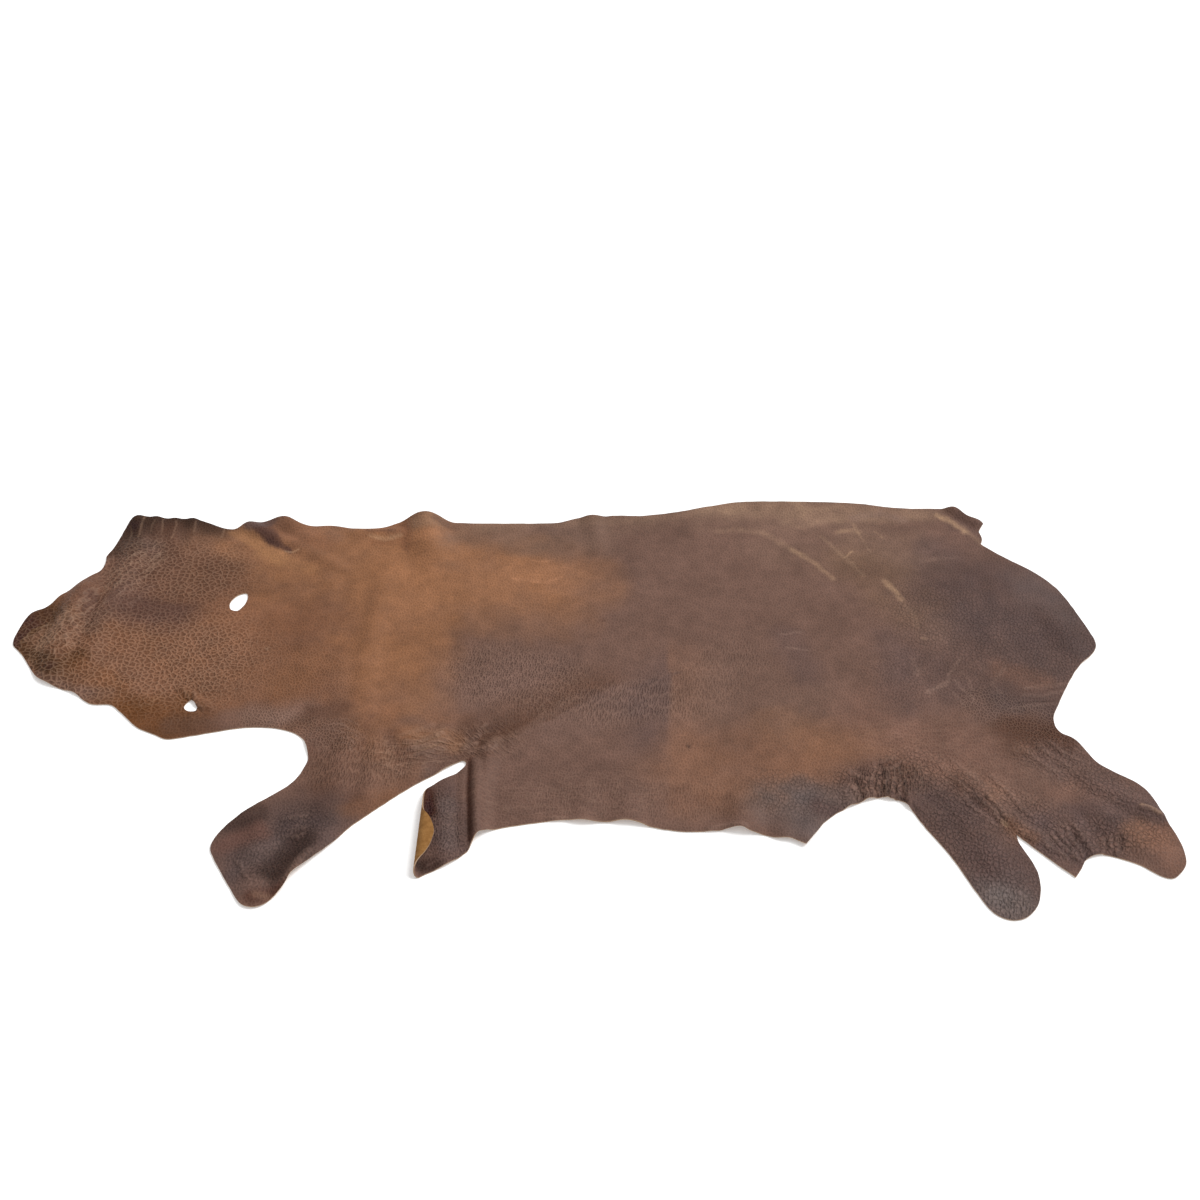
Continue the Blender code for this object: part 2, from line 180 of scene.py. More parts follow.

# %% [markdown]
# ## Folds and creases
#
# Leather this thick doesn't drape, it buckles: wide soft ridges where the hide was never flat on
# the animal, such as at the muzzle, withers, armpit and flank, and fine creases where the skin used
# to bend, such as in the groin and above the hocks. Cloth simulation would give folds of its own
# choosing, so each one is listed instead: where its crest starts and ends, how broad it is, and
# how high it stands at each end. `FOLDS` are the main ones, `BRINKS` the steep lips beside the
# brisket valley, and `CREASES` the fine ones.

# %% The main folds
class Fold(NamedTuple):
    """A soft ridge: its crest runs from (x1, y1) to (x2, y2), with its height at each end."""

    name: str
    x1: float
    y1: float
    x2: float
    y2: float
    breadth: float
    rise1: float
    rise2: float


FOLDS = table(
    Fold,
    ("muzzle", -102.5, 27.0, -103.5, 4.0, 9.0, 1.9, 1.2),
    ("brow", -94.0, 42.0, -96.0, 9.0, 9.0, 1.1, 0.8),
    ("jaw", -93.0, 4.0, -97.0, -1.0, 6.0, 0.5, 0.5),
    ("poll ruffle 1", -94.5, 55.0, -93.0, 45.0, 4.0, 0.45, 0.2),
    ("poll ruffle 2", -90.0, 54.5, -89.5, 46.0, 3.6, 0.35, 0.2),
    ("poll ruffle 3", -86.0, 54.5, -85.5, 46.0, 3.6, 0.35, 0.2),
    ("poll ruffle 4", -82.0, 54.0, -81.5, 46.0, 3.6, 0.4, 0.2),
    ("nape tuck", -70.5, 52.0, -50.0, 37.0, 6.0, 1.3, 0.4),
    ("nape edge", -62.0, 54.5, -56.0, 45.0, 8.5, 1.6, 0.4),
    ("crest roll", -45.0, 48.5, -37.0, 49.5, 5.0, 0.6, 0.6),
    ("withers buckle", -31.3, 57.0, -28.5, 35.0, 12.4, 3.0, 0.3),
    ("back bump", 5.5, 55.5, 6.5, 44.0, 7.0, 0.9, 0.2),
    ("loin", 39.0, 59.5, 64.0, 59.0, 10.0, 0.6, 0.6),
    ("tail tag", 85.5, 56.5, 89.5, 52.5, 5.0, 0.9, 0.9),
    ("hip", 100.0, 22.5, 103.5, 11.5, 8.0, 0.35, 0.35),
    ("thigh", 97.0, -15.5, 86.0, -18.0, 6.5, 0.8, 0.3),
    ("shoulder 1", -50.5, 30.0, -52.0, 4.0, 8.0, 0.3, 0.3),
    ("shoulder 2", -39.5, 30.5, -40.5, -10.0, 7.0, 0.5, 0.4),
    ("forearm", -42.0, -16.5, -44.0, -39.5, 8.0, 0.6, 0.6),
    ("elbow side", -37.0, -14.5, -36.5, -29.0, 6.0, 0.5, 0.5),
    ("throat", -42.5, -7.5, -48.5, -16.0, 7.0, 0.6, 0.6),
    ("elbow", -24.5, -14.5, -28.0, -23.0, 6.0, 0.6, 0.6),
    ("armpit 1", -17.0, -11.0, -9.0, -5.5, 9.0, 1.1, 1.0),
    ("armpit 2", -9.0, -5.5, 1.0, 2.0, 9.0, 1.0, 0.3),
    ("brisket", -15.0, -18.0, -15.0, -39.5, 6.0, 1.0, 1.1),
    ("flap", -22.0, -25.0, -21.5, -47.0, 6.0, 0.5, 0.5),
    ("belly ripple 1", 4.0, -37.0, 4.5, -28.0, 7.0, 0.6, 0.2),
    ("belly ripple 2", 12.5, -37.0, 12.5, -26.5, 8.0, 0.7, 0.2),
    ("belly ripple 3", 33.5, -38.5, 34.5, -28.0, 9.0, 1.1, 0.3),
    ("belly ripple 4", 41.5, -41.0, 42.0, -32.0, 8.0, 0.7, 0.2),
    ("flank", 44.5, -41.5, 48.5, -32.0, 7.0, 0.7, 0.3),
    ("groin 1", 54.0, -32.0, 53.5, -24.0, 4.0, 0.5, 0.2),
    ("groin 2", 57.7, -30.5, 58.0, -23.0, 4.0, 0.5, 0.2),
    ("groin 3", 61.3, -30.5, 62.0, -22.5, 4.0, 0.5, 0.2),
    ("groin 4", 65.0, -32.0, 67.0, -24.5, 4.0, 0.5, 0.2),
    ("shank", 76.0, -27.5, 86.5, -41.0, 6.0, 0.5, 0.5),
    ("hock", 100.0, -25.5, 109.5, -34.0, 7.0, 0.5, 0.5),
    ("spur", 95.5, -37.0, 96.5, -44.5, 4.5, 0.4, 0.4),
    ("hind foot", 100.5, -35.0, 109.0, -46.0, 9.0, 0.8, 0.7),
    ("shank foot", 77.0, -42.5, 80.5, -56.0, 9.0, 0.5, 0.5),
    ("fore foot", -56.0, -39.0, -56.0, -54.5, 9.0, 0.6, 0.6),
    ("fore foot edge", -45.0, -42.5, -50.5, -52.5, 7.0, 0.9, 1.0),
    ("cheek", -76.0, -1.0, -71.5, -5.5, 3.5, 0.6, 0.6),
)

# %% The steep lips beside the brisket valley, and the fine creases
BRINKS = table(
    Fold,
    ("brisket brink", -17.2, -22.5, -16.1, -42.3, 3.4, 0.9, 1.0),
    ("flap brink", -19.5, -22.3, -18.6, -41.1, 3.0, 0.35, 0.35),
)
CREASES = table(
    Fold,
    ("armpit ridge 1", -17.2, -18.9, -14.9, -18.9, 2.7, 0.5, 0.35),
    ("armpit ridge 2", -19.2, -17.9, -17.7, -16.9, 1.8, 0.42, 0.42),
    ("armpit ridge 3", -18.5, -15.8, -17.0, -14.4, 1.5, 0.42, 0.42),
    ("armpit ridge 4", -16.9, -13.6, -15.4, -12.4, 1.3, 0.25, 0.25),
    ("elbow ridge 1", -30.1, -16.3, -24.4, -14.4, 2.0, 0.45, 0.4),
    ("elbow ridge 2", -29.2, -17.9, -24.2, -16.4, 2.6, 0.45, 0.35),
    ("elbow ridge 3", -28.7, -20.0, -23.8, -18.1, 1.9, 0.35, 0.3),
    ("elbow ridge 4", -31.4, -14.4, -26.5, -11.9, 2.2, 0.2, 0.2),
    ("groin fold 0", 53.9, -26.6, 54.9, -31.5, 1.8, 0.21, 0.27),
    ("groin fold 1", 56.9, -26.6, 56.8, -31.4, 1.7, 0.18, 0.24),
    ("groin fold 2", 59.0, -21.5, 57.8, -30.7, 1.2, 0.18, 0.24),
    ("groin fold 3", 59.9, -23.1, 59.1, -30.5, 1.1, 0.18, 0.24),
    ("groin fold 4", 61.0, -23.9, 60.3, -31.3, 1.1, 0.21, 0.24),
    ("groin fold 5", 62.2, -23.4, 61.6, -31.5, 1.2, 0.18, 0.24),
    ("groin fold 6", 63.4, -22.6, 63.0, -31.6, 1.2, 0.18, 0.21),
    ("groin fold 7", 64.5, -24.7, 64.4, -33.1, 1.2, 0.15, 0.18),
    ("groin arc", 54.5, -24.5, 58.4, -26.8, 1.7, 0.3, 0.2),
    ("groin cross 1", 59.7, -21.5, 62.6, -20.1, 1.6, 0.25, 0.2),
    ("groin cross 2", 60.6, -23.8, 64.4, -20.9, 1.3, 0.25, 0.2),
    ("ham fold 1", 71.4, -23.1, 78.5, -32.4, 1.4, 0.15, 0.15),
    ("ham fold 2", 73.9, -21.5, 81.6, -30.8, 2.9, 0.15, 0.18),
    ("ham fold 3", 75.4, -29.0, 76.0, -33.6, 1.2, 0.18, 0.18),
    ("ham fold 4", 77.8, -25.9, 81.8, -36.3, 2.3, 0.21, 0.18),
    ("ham fold 5", 80.5, -25.7, 86.9, -35.6, 1.9, 0.18, 0.18),
    ("ham fold 6", 78.5, -32.4, 81.1, -37.4, 1.3, 0.21, 0.24),
    ("ham fold 7", 76.1, -33.0, 79.2, -37.1, 1.8, 0.18, 0.18),
    ("ham fold 8", 83.6, -39.0, 85.4, -41.8, 1.3, 0.18, 0.18),
    ("foot fold 1", 92.8, -37.9, 94.0, -45.6, 1.5, 0.18, 0.24),
    ("foot fold 2", 94.3, -37.9, 95.7, -44.8, 1.4, 0.18, 0.21),
    ("foot fold 3", 98.4, -41.1, 97.8, -45.1, 1.3, 0.18, 0.18),
    ("foot fold 4", 99.9, -41.2, 99.2, -44.8, 1.3, 0.18, 0.18),
    ("foot fold 5", 101.2, -41.9, 100.5, -44.8, 1.2, 0.18, 0.18),
    ("foot nick", 107.7, -33.7, 110.6, -35.2, 1.8, 0.4, 0.4),
    ("hock fold 1", 88.4, -18.7, 93.3, -24.2, 2.0, 0.2, 0.2),
    ("hock fold 2", 91.2, -17.9, 96.5, -23.2, 2.0, 0.2, 0.2),
    ("hock fold 3", 93.6, -17.1, 98.3, -21.5, 1.7, 0.2, 0.2),
    ("hip fold 1", 86.8, -7.1, 96.6, -5.1, 2.2, 0.2, 0.25),
    ("hip fold 2", 90.2, -3.3, 98.3, -2.2, 2.2, 0.2, 0.25),
    ("hip fold 3", 91.3, -1.0, 99.5, 0.4, 2.3, 0.2, 0.2),
    ("spur fold 1", 88.2, -42.7, 90.7, -45.6, 1.9, 0.25, 0.25),
    ("spur fold 2", 90.1, -40.6, 92.4, -46.1, 1.7, 0.25, 0.3),
    ("spur fold 3", 91.6, -40.1, 93.3, -47.0, 1.4, 0.2, 0.25),
    ("brow fold 1", -93.9, 27.9, -89.7, 34.1, 1.8, 0.2, 0.2),
    ("brow fold 2", -91.8, 24.9, -87.8, 30.2, 2.3, 0.2, 0.2),
    ("brow fold 3", -100.3, 36.1, -98.4, 39.5, 2.3, 0.25, 0.25),
    ("nose fold", -111.1, 13.3, -106.8, 18.4, 2.4, 0.25, 0.25),
    ("muzzle fold 1", -106.3, 22.2, -101.8, 12.6, 1.6, 0.2, 0.2),
    ("muzzle fold 2", -104.7, 23.0, -99.6, 13.4, 1.7, 0.2, 0.2),
    ("cheek lip", -74.0, -2.8, -71.4, -7.0, 1.1, 0.35, 0.25),
    ("foot ring 1", -51.6, -36.6, -48.0, -35.4, 1.5, 0.2, 0.2),
    ("foot ring 2", -50.8, -38.9, -47.3, -38.4, 1.5, 0.2, 0.2),
    ("foot ring 3", -51.4, -41.1, -48.2, -40.1, 1.5, 0.2, 0.2),
    ("foot arc", -58.9, -46.7, -56.7, -52.1, 1.2, 0.2, 0.2),
    ("fore edge", -46.8, -45.4, -49.4, -50.9, 2.8, 0.5, 0.5),
    ("belly lip", -1.6, -36.6, 14.0, -38.0, 2.5, 0.3, 0.3),
    ("belly lip 2", 27.3, -38.9, 32.7, -38.9, 2.5, 0.35, 0.5),
    ("hide line", -15.2, -18.8, 0.7, -4.2, 4.3, 0.25, 0.2),
)
print(f"{len(FOLDS)} folds, {len(BRINKS)} brinks, {len(CREASES)} creases")

# %% [markdown]
# ## How high the sheet lies
#
# Across a fold the height follows a squared cosine, which is level at the crest and at both feet,
# so a ridge has no hard line. Where ridges meet, the cube root of their summed cubes lets the
# higher one win and still blends them. Between the folds the leather is never quite flat, so a
# little slack is added from smooth random hills, drawn with fixed seeds.

# %% Distances, soft random hills and heights
WANDER = 0.7
WANDER_RUN = 7.0
END_TAPER = 0.6
CREASE_WOBBLE = 0.5
CREASE_WAVE = 2.6
SLACK = 0.16
SLACK_SIZE = 13.0
NOISE_CELLS = 61
WITHERS = np.array([[-31.5], [53.0]])


def along_run(row, x, y):
    """How far aside of a row's straight run a place is, how far past its ends, and how far along."""
    run_x, run_y = row.x2 - row.x1, row.y2 - row.y1
    length = math.hypot(run_x, run_y)
    along = ((x - row.x1) * run_x + (y - row.y1) * run_y) / length
    aside = ((y - row.y1) * run_x - (x - row.x1) * run_y) / length
    past_end = np.maximum(0.0, np.maximum(-along, along - length))
    return aside, past_end, np.clip(along / length, 0.0, 1.0)


def soft_noise(x, y, size, seed):
    """Smooth random hills between -1 and 1, about size apart, the same on every run."""
    heights = np.random.default_rng(seed).uniform(-1.0, 1.0, (NOISE_CELLS, NOISE_CELLS))
    column, row = np.floor(x / size), np.floor(y / size)
    across, up = x / size - column, y / size - row
    across, up = across * across * (3.0 - 2.0 * across), up * up * (3.0 - 2.0 * up)
    column, row = column.astype(int) % NOISE_CELLS, row.astype(int) % NOISE_CELLS
    right, above = (column + 1) % NOISE_CELLS, (row + 1) % NOISE_CELLS
    low = heights[column, row] * (1.0 - across) + heights[right, row] * across
    high = heights[column, above] * (1.0 - across) + heights[right, above] * across
    return low * (1.0 - up) + high * up


def ridges(folds, x, y):
    """Height of a set of ridges that run into each other softly."""
    total = np.zeros_like(x)
    for fold in folds:
        aside, past_end, along = along_run(fold, x, y)
        distance = np.minimum(np.hypot(aside, past_end * END_TAPER), fold.breadth / 2.0)
        crest = fold.rise1 + (fold.rise2 - fold.rise1) * along
        total += (crest * np.cos(math.pi * distance / fold.breadth) ** 2) ** 3
    return np.cbrt(total)


def lie_height(x, y):
    """Height of the sheet's underside over the surface that it lies on."""
    wander_x = x + WANDER * np.sin(y / WANDER_RUN)
    wander_y = y + WANDER * np.sin(x / WANDER_RUN)
    slack = SLACK * np.maximum(0.0, soft_noise(x, y, SLACK_SIZE, seed=3))
    return ridges(FOLDS, wander_x, wander_y) + ridges(BRINKS, x, y) + slack


def crease_height(x, y):
    """Height that the fine creases add, along lines that waver a little."""
    wobble_x = x + CREASE_WOBBLE * soft_noise(x, y, CREASE_WAVE, seed=5)
    wobble_y = y + CREASE_WOBBLE * soft_noise(x, y, CREASE_WAVE, seed=6)
    return ridges(CREASES, wobble_x, wobble_y)


print(f"the withers buckle stands {lie_height(*WITHERS)[0]:.1f} cm high")

# %% [markdown]
# ## Laying the flat pattern down
#
# A place on the flat hide keeps its x and y and takes its height from the folds. Past the roll's
# line it goes round the roll instead: `turn` is how far round it has gone, up to half a turn, and
# what is left beyond that hangs back over the flap with a little droop. The grain side lies one
# thickness away along the surface's own normal, so the sheet is equally thick on every slope.

# %% From the flat hide to where it lies
SLOPE_STEP = 0.05
UNDER_CREASE = 0.7


def roll_line(y):
    """The x at which the flap starts to roll up, at this y."""
    return ROLL_X + ROLL_SLANT * (y - ROLL_Y)


def past_roll(x, y):
    """How far a place on the flat flap lies past the roll's start; negative elsewhere."""
    below_slit = y < SLIT_Y + SLIT_SLOPE * (x - SLIT_X)
    return np.where(below_slit & (x > FLAP_LEFT), roll_line(y) - x, -1.0)


def lay_down(x, y, share, crease_share=1.0):
    """Places at a share of the thickness, 0 for the flesh side and 1 for the grain, in metres."""
    past = past_roll(x, y)
    turn = np.clip(past / ROLL_RADIUS, 0.0, math.pi)
    beyond = np.maximum(past, 0.0) - turn * ROLL_RADIUS
    foot_x = np.where(past > 0.0, roll_line(y), x)

    def height(at_x, at_y):
        return lie_height(at_x, at_y) + crease_share * crease_height(at_x, at_y)

    slope_x = (height(foot_x + SLOPE_STEP, y) - height(foot_x - SLOPE_STEP, y)) / (2.0 * SLOPE_STEP)
    slope_y = (height(foot_x, y + SLOPE_STEP) - height(foot_x, y - SLOPE_STEP)) / (2.0 * SLOPE_STEP)
    slope_x = np.where(past > 0.0, 0.0, slope_x)
    steep = np.sqrt(1.0 + slope_x**2 + slope_y**2)
    lift = share * THICKNESS / steep
    place_x = foot_x - ROLL_RADIUS * np.sin(turn) + beyond
    place_z = height(foot_x, y) + ROLL_RADIUS * (1.0 - np.cos(turn)) - ROLL_DROOP * beyond
    place_x += lift * (np.sin(turn) - slope_x * np.cos(turn))
    place_z += lift * (np.cos(turn) + slope_x * np.sin(turn))
    return np.column_stack([place_x, y - lift * slope_y, place_z]) * CM


# %% [markdown]
# ## The edge as a curve
#
# Each stretch between two rows is a Bezier whose handles aim along its neighbours, so the edge
# passes through every row without a kink. The points are close together, because the outline is
# what the eye reads first, and they waver by a fraction of a millimetre, as a knife does.

# %% The edge's points
EDGE_STEP = 0.55
KNIFE_WAVER = 0.05
KNIFE_WAVE = 1.3


def handles(before, start, end, after):
    """Bezier handles between start and end, on a curve that also passes before and after."""
    gap = (end - start).length
    leave = (end - before) / ((start - before).length + gap)
    arrive = (after - start) / ((after - end).length + gap)
    return start + leave * gap / 3.0, end - arrive * gap / 3.0


def edge_loop(rows):
    """A closed edge through its rows, as evenly spaced points, soft except at the corners."""
    knots = [Vector((row.x, row.y)) for row in rows]
    loop = []
    for i, row in enumerate(rows):
        following = (i + 1) % len(rows)
        start, end = knots[i], knots[following]
        before = start if row.corner else knots[i - 1]
        after = end if rows[following].corner else knots[(i + 2) % len(rows)]
        handle1, handle2 = handles(before, start, end, after)
        count = max(1, round((end - start).length / EDGE_STEP))
        loop += interpolate_bezier(start, handle1, handle2, end, count + 1)[:-1]
    loop = np.array([point[:2] for point in loop])
    waver = [soft_noise(loop[:, 0], loop[:, 1], KNIFE_WAVE, seed) for seed in (11, 12)]
    return loop + KNIFE_WAVER * np.column_stack(waver)


loops = [edge_loop(HIDE_EDGE), edge_loop(EYE_HOLE), edge_loop(CHEEK_HOLE)]
edge = np.vstack(loops)
print(f"{len(edge)} points along the cut edges")

# %% [markdown]
# ## The flat pattern
#
# The sheet needs small triangles on its creases and only a few where it lies flat. A triangular
# lattice is thinned, and a constrained Delaunay triangulation joins what is left to the cut edge.
# The grain side keeps every point on the creases and beside the streaks, which stay crisp so, and
# every second one elsewhere. The flesh side hardly shows, so it keeps every second point on the
# creases and every fourth elsewhere, and it shares the edge's points.

# %% Streaks: where the wax pulled up along old scars and rubs, and painted shade and highlights on creases
class Streak(NamedTuple):
    """A narrow mark along a path, with its tone and how strongly it shows."""

    name: str
    path: tuple
    breadth: float
    tone: str
    strength: float


STREAKS = table(
    Streak,
    ("loin long 1", ((32.5, 49.5), (37.4, 49.8), (42.1, 49.1), (47.8, 43.2)), 2.7, "sand", 0.4),
    ("loin long 2", ((47.8, 43.2), (49.2, 41.9), (52.4, 38.8), (55.7, 33.1)), 1.8, "straw", 0.6),
    ("loin second", ((54.8, 47.4), (58.8, 40.5), (62.6, 34.1)), 1.5, "sand", 0.45),
    ("croup bright", ((66.9, 32.3), (68.4, 29.6), (69.8, 26.8)), 1.9, "straw", 0.75),
    ("croup faint", ((69.8, 26.8), (71.2, 22.5), (72.0, 18.0)), 1.8, "sand", 0.25),
    ("tail bright", ((81.0, 55.1), (83.5, 52.6), (86.3, 49.1)), 2.5, "straw", 0.85),
    ("tail faint", ((86.3, 49.1), (87.8, 47.4), (89.2, 44.9)), 1.8, "sand", 0.5),
    ("loin nick", ((58.7, 40.2), (61.1, 42.5)), 0.7, "straw", 0.7),
    ("loin nick 2", ((61.8, 52.3), (63.5, 47.4)), 0.7, "sand", 0.5),
    ("croup pink", ((62.6, 54.0), (68.3, 55.5), (73.1, 53.3)), 3.3, "sandy rose", 0.6),
    ("loin blotch 1", ((29.3, 56.5), (31.8, 57.6), (34.8, 56.2)), 3.3, "sand", 0.4),
    ("loin blotch 2", ((50.0, 58.8), (51.6, 56.3), (55.1, 56.6), (59.4, 57.7)), 2.2, "sand", 0.5),
    ("loin blotch 3", ((47.3, 52.3), (51.6, 50.9), (55.3, 53.0), (58.8, 53.3)), 3.0, "sand", 0.4),
    ("loin blotch 4", ((58.4, 48.8), (60.7, 49.8), (62.8, 49.1)), 2.3, "straw", 0.5),
    ("croup cross", ((72.1, -2.0), (75.7, 1.1)), 2.0, "sandy rose", 0.6),
    ("croup cross 2", ((75.7, 1.1), (76.9, 3.9), (79.3, 7.9)), 0.9, "sandy rose", 0.5),
    ("croup cross 3", ((77.4, 1.9), (77.9, -0.1), (79.5, -2.4), (80.8, -4.7)), 1.0, "sandy rose", 0.45),
    ("croup cross 4", ((70.0, 7.6), (70.3, 3.1)), 1.8, "sandy rose", 0.45),
    ("croup cross 5", ((76.8, -2.4), (78.7, -5.9)), 0.9, "sandy rose", 0.4),
    ("croup cross 6", ((79.7, 3.1), (80.9, -1.6)), 0.7, "sandy rose", 0.35),
    ("loin hair 1", ((61.4, 52.6), (64.9, 41.9)), 0.5, "sand", 0.45),
    ("loin hair 2", ((66.6, 49.5), (68.0, 47.0)), 0.6, "straw", 0.45),
    ("loin scar top", ((48.2, 59.1), (50.9, 56.6), (51.7, 54.9)), 0.9, "sand", 0.45),
    ("crest smear", ((-43.1, 47.3), (-40.0, 46.6), (-36.6, 47.4)), 1.6, "straw", 0.5),
    ("crest dark", ((-43.7, 48.9), (-38.0, 48.9)), 1.8, "umber", 0.55),
    # withers line: painted shade on the left slope of the withers buckle
    ("withers line", ((-35.5, 50.2), (-35.4, 45.5), (-34.7, 41.4)), 1.3, "umber", 0.15),
    ("side scar 1", ((43.5, 15.5), (45.6, 15.5), (47.9, 16.4)), 0.8, "sandy rose", 0.5),
    ("side scar 2", ((44.7, 11.2), (46.9, 10.9), (49.1, 10.6)), 0.8, "sandy rose", 0.5),
    ("tail line", ((75.3, 39.1), (79.1, 39.8), (83.0, 40.5)), 1.3, "sandy rose", 0.35),
    ("back scar 1", ((-8.2, 39.1), (-6.2, 38.8), (-4.5, 38.8)), 0.9, "peach", 0.6),
    ("back scar 2", ((-11.6, 33.5), (-8.2, 32.5), (-4.8, 32.1), (-1.9, 33.5)), 1.3, "peach", 0.6),
    ("nose crack", ((-111.1, 13.7), (-109.8, 16.8), (-107.2, 18.2)), 0.9, "sand", 0.6),
    ("poll crack 1", ((-93.5, 54.7), (-93.6, 50.8), (-93.8, 47.0)), 0.5, "sand", 0.6),
    ("poll crack 2", ((-91.0, 53.5), (-91.2, 49.3)), 0.6, "sand", 0.45),
    ("poll crack 3", ((-89.3, 53.6), (-88.9, 48.3)), 0.5, "sand", 0.5),
    ("poll crack 4", ((-86.3, 52.8), (-86.2, 46.7)), 0.5, "sand", 0.55),
    ("poll crack 5", ((-81.9, 52.9), (-82.0, 49.0)), 0.5, "sand", 0.5),
    ("poll crack 6", ((-75.2, 50.2), (-75.7, 47.0)), 0.6, "sand", 0.55),
    ("poll crack 7", ((-95.7, 51.4), (-95.2, 45.2)), 0.5, "sand", 0.4),
    ("nape scar", ((-61.0, 42.5), (-59.4, 41.7), (-58.1, 42.4)), 0.7, "straw", 0.75),
    # the ink lines of the groin, ham, spur and hock: painted shade in the crevices between creases
    ("groin nick", ((54.7, -26.1), (55.3, -28.1), (55.9, -31.2)), 0.7, "ink", 0.85),
    ("groin line 1", ((59.1, -27.1), (59.3, -30.4)), 0.6, "ink", 0.65),
    ("groin line 2", ((60.3, -28.0), (60.4, -30.0)), 0.6, "ink", 0.65),
    ("groin line 3", ((61.1, -28.7), (61.1, -30.3)), 0.6, "ink", 0.65),
    ("groin line 4", ((62.2, -28.3), (62.4, -29.7)), 0.6, "ink", 0.65),
    ("groin arc 1", ((59.4, -25.2), (61.3, -24.5), (63.0, -23.2), (64.2, -22.0)), 0.6, "ink", 0.5),
    ("groin arc 2", ((60.4, -20.8), (60.0, -22.6)), 0.6, "ink", 0.5),
    ("groin arc 3", ((56.5, -23.7), (57.6, -25.6), (57.9, -27.1)), 0.6, "ink", 0.45),
    ("groin rim 1", ((62.9, -31.0), (63.8, -32.3)), 1.0, "ink", 0.85),
    ("groin rim 2", ((64.9, -32.6), (66.0, -34.2)), 0.7, "ink", 0.65),
    ("groin line 5", ((60.3, -22.5), (60.8, -26.5), (60.6, -30.8)), 0.8, "ink", 0.6),
    ("groin line 6", ((63.4, -23.4), (64.2, -26.8), (64.3, -30.8)), 0.8, "ink", 0.6),
    ("ham line 1", ((73.7, -25.5), (76.5, -29.4), (79.2, -33.8)), 0.7, "ink", 0.5),
    ("ham line 2", ((79.3, -31.2), (80.9, -34.7), (81.7, -37.6)), 0.8, "ink", 0.65),
    ("ham line 3", ((69.8, -29.4), (71.6, -33.0), (73.3, -37.2)), 0.7, "ink", 0.45),
    ("spur line 1", ((90.2, -39.9), (91.9, -42.9), (92.8, -46.8)), 0.8, "ink", 0.6),
    ("spur line 2", ((94.6, -40.0), (93.4, -43.0), (91.0, -45.5)), 0.7, "ink", 0.5),
    ("hock line 1", ((99.3, -40.6), (99.8, -43.6), (100.6, -46.1)), 0.9, "ink", 0.7),
    ("hock line 2", ((102.2, -40.8), (102.0, -43.8)), 0.8, "ink", 0.6),
    # throat arcs: painted highlights standing in for small wrinkles that the sheet doesn't have
    (
        "throat arc 1", ((-50.4, -14.2), (-47.8, -13.2), (-45.0, -12.9), (-41.9, -13.8), (-40.0, -15.3)),
        0.5, "sandy rose", 0.45,
    ),
    (
        "throat arc 2", ((-47.0, -11.8), (-43.8, -11.7), (-41.0, -12.8), (-39.4, -14.5)),
        0.5, "sandy rose", 0.45,
    ),
    ("throat arc 3", ((-46.5, -10.2), (-43.0, -10.2), (-40.2, -11.8)), 0.5, "sandy rose", 0.4),
    ("throat arc 4", ((-44.8, -14.8), (-42.5, -15.1), (-40.8, -17.0)), 0.5, "sandy rose", 0.45),
    ("throat arc 5", ((-43.6, -16.3), (-42.0, -17.0), (-41.2, -19.0)), 0.5, "sandy rose", 0.4),
    # shoulder crease: painted shade in the crease between the throat and elbow folds
    ("shoulder crease", ((-38.4, -9.4), (-39.1, -13.7), (-39.4, -18.4)), 1.5, "umber", 0.55),
    # elbow lines: painted highlights on the lit slopes of the elbow ridges
    ("elbow line 1", ((-29.0, -17.0), (-24.6, -15.4)), 0.9, "sand", 0.45),
    ("elbow line 2", ((-28.5, -18.9), (-24.2, -17.3)), 0.9, "sand", 0.4),
    ("elbow line 3", ((-27.9, -15.0), (-23.8, -13.6)), 0.8, "sand", 0.4),
    ("flap rim", ((-24.6, -48.2), (-22.0, -46.4), (-19.0, -44.4)), 0.7, "pigeon", 0.55),
    # hip dark: painted shade in the crease between the hip folds
    ("hip dark", ((88.9, -5.1), (92.4, -4.7), (97.2, -5.1)), 0.7, "ink", 0.45),
    ("rump wedge", ((86.2, -2.0), (84.6, 0.5), (88.1, 5.5)), 1.2, "sandy rose", 0.4),
    ("croup cross 7", ((78.2, 3.5), (79.3, 3.9)), 0.9, "sandy rose", 0.4),
    ("cheek scar", ((-75.4, -2.3), (-74.4, -4.0)), 0.6, "sand", 0.5),
    ("cheek line", ((-85.2, -5.9), (-82.5, -5.4), (-80.6, -3.1)), 0.7, "sand", 0.3),
    ("side line", ((11.6, -1.9), (16.6, 1.0), (22.7, 3.7)), 1.4, "slate", 0.35),
    ("hip line", ((91.3, -1.0), (95.3, 0.4), (99.5, 0.1)), 0.8, "sandy rose", 0.4),
    ("foot lip", ((107.8, -33.2), (109.1, -34.0), (110.4, -35.0)), 0.9, "straw", 0.75),
    ("foot ring 1", ((-51.1, -36.4), (-49.6, -35.1), (-47.7, -36.7)), 0.5, "pigeon", 0.6),
    ("foot ring 2", ((-50.4, -38.6), (-49.3, -37.6), (-47.6, -39.3), (-48.0, -40.7)), 0.5, "pigeon", 0.55),
    ("foot ring 3", ((-51.7, -40.6), (-50.1, -39.9), (-48.5, -41.1)), 0.6, "pigeon", 0.5),
    ("elbow scar", ((-15.8, -19.3), (-14.5, -19.2), (-13.2, -17.4)), 0.8, "sandy rose", 0.5),
    ("knob", ((81.2, -37.3), (82.0, -37.9)), 1.0, "straw", 0.8),
)
print(f"{len(STREAKS)} streaks")

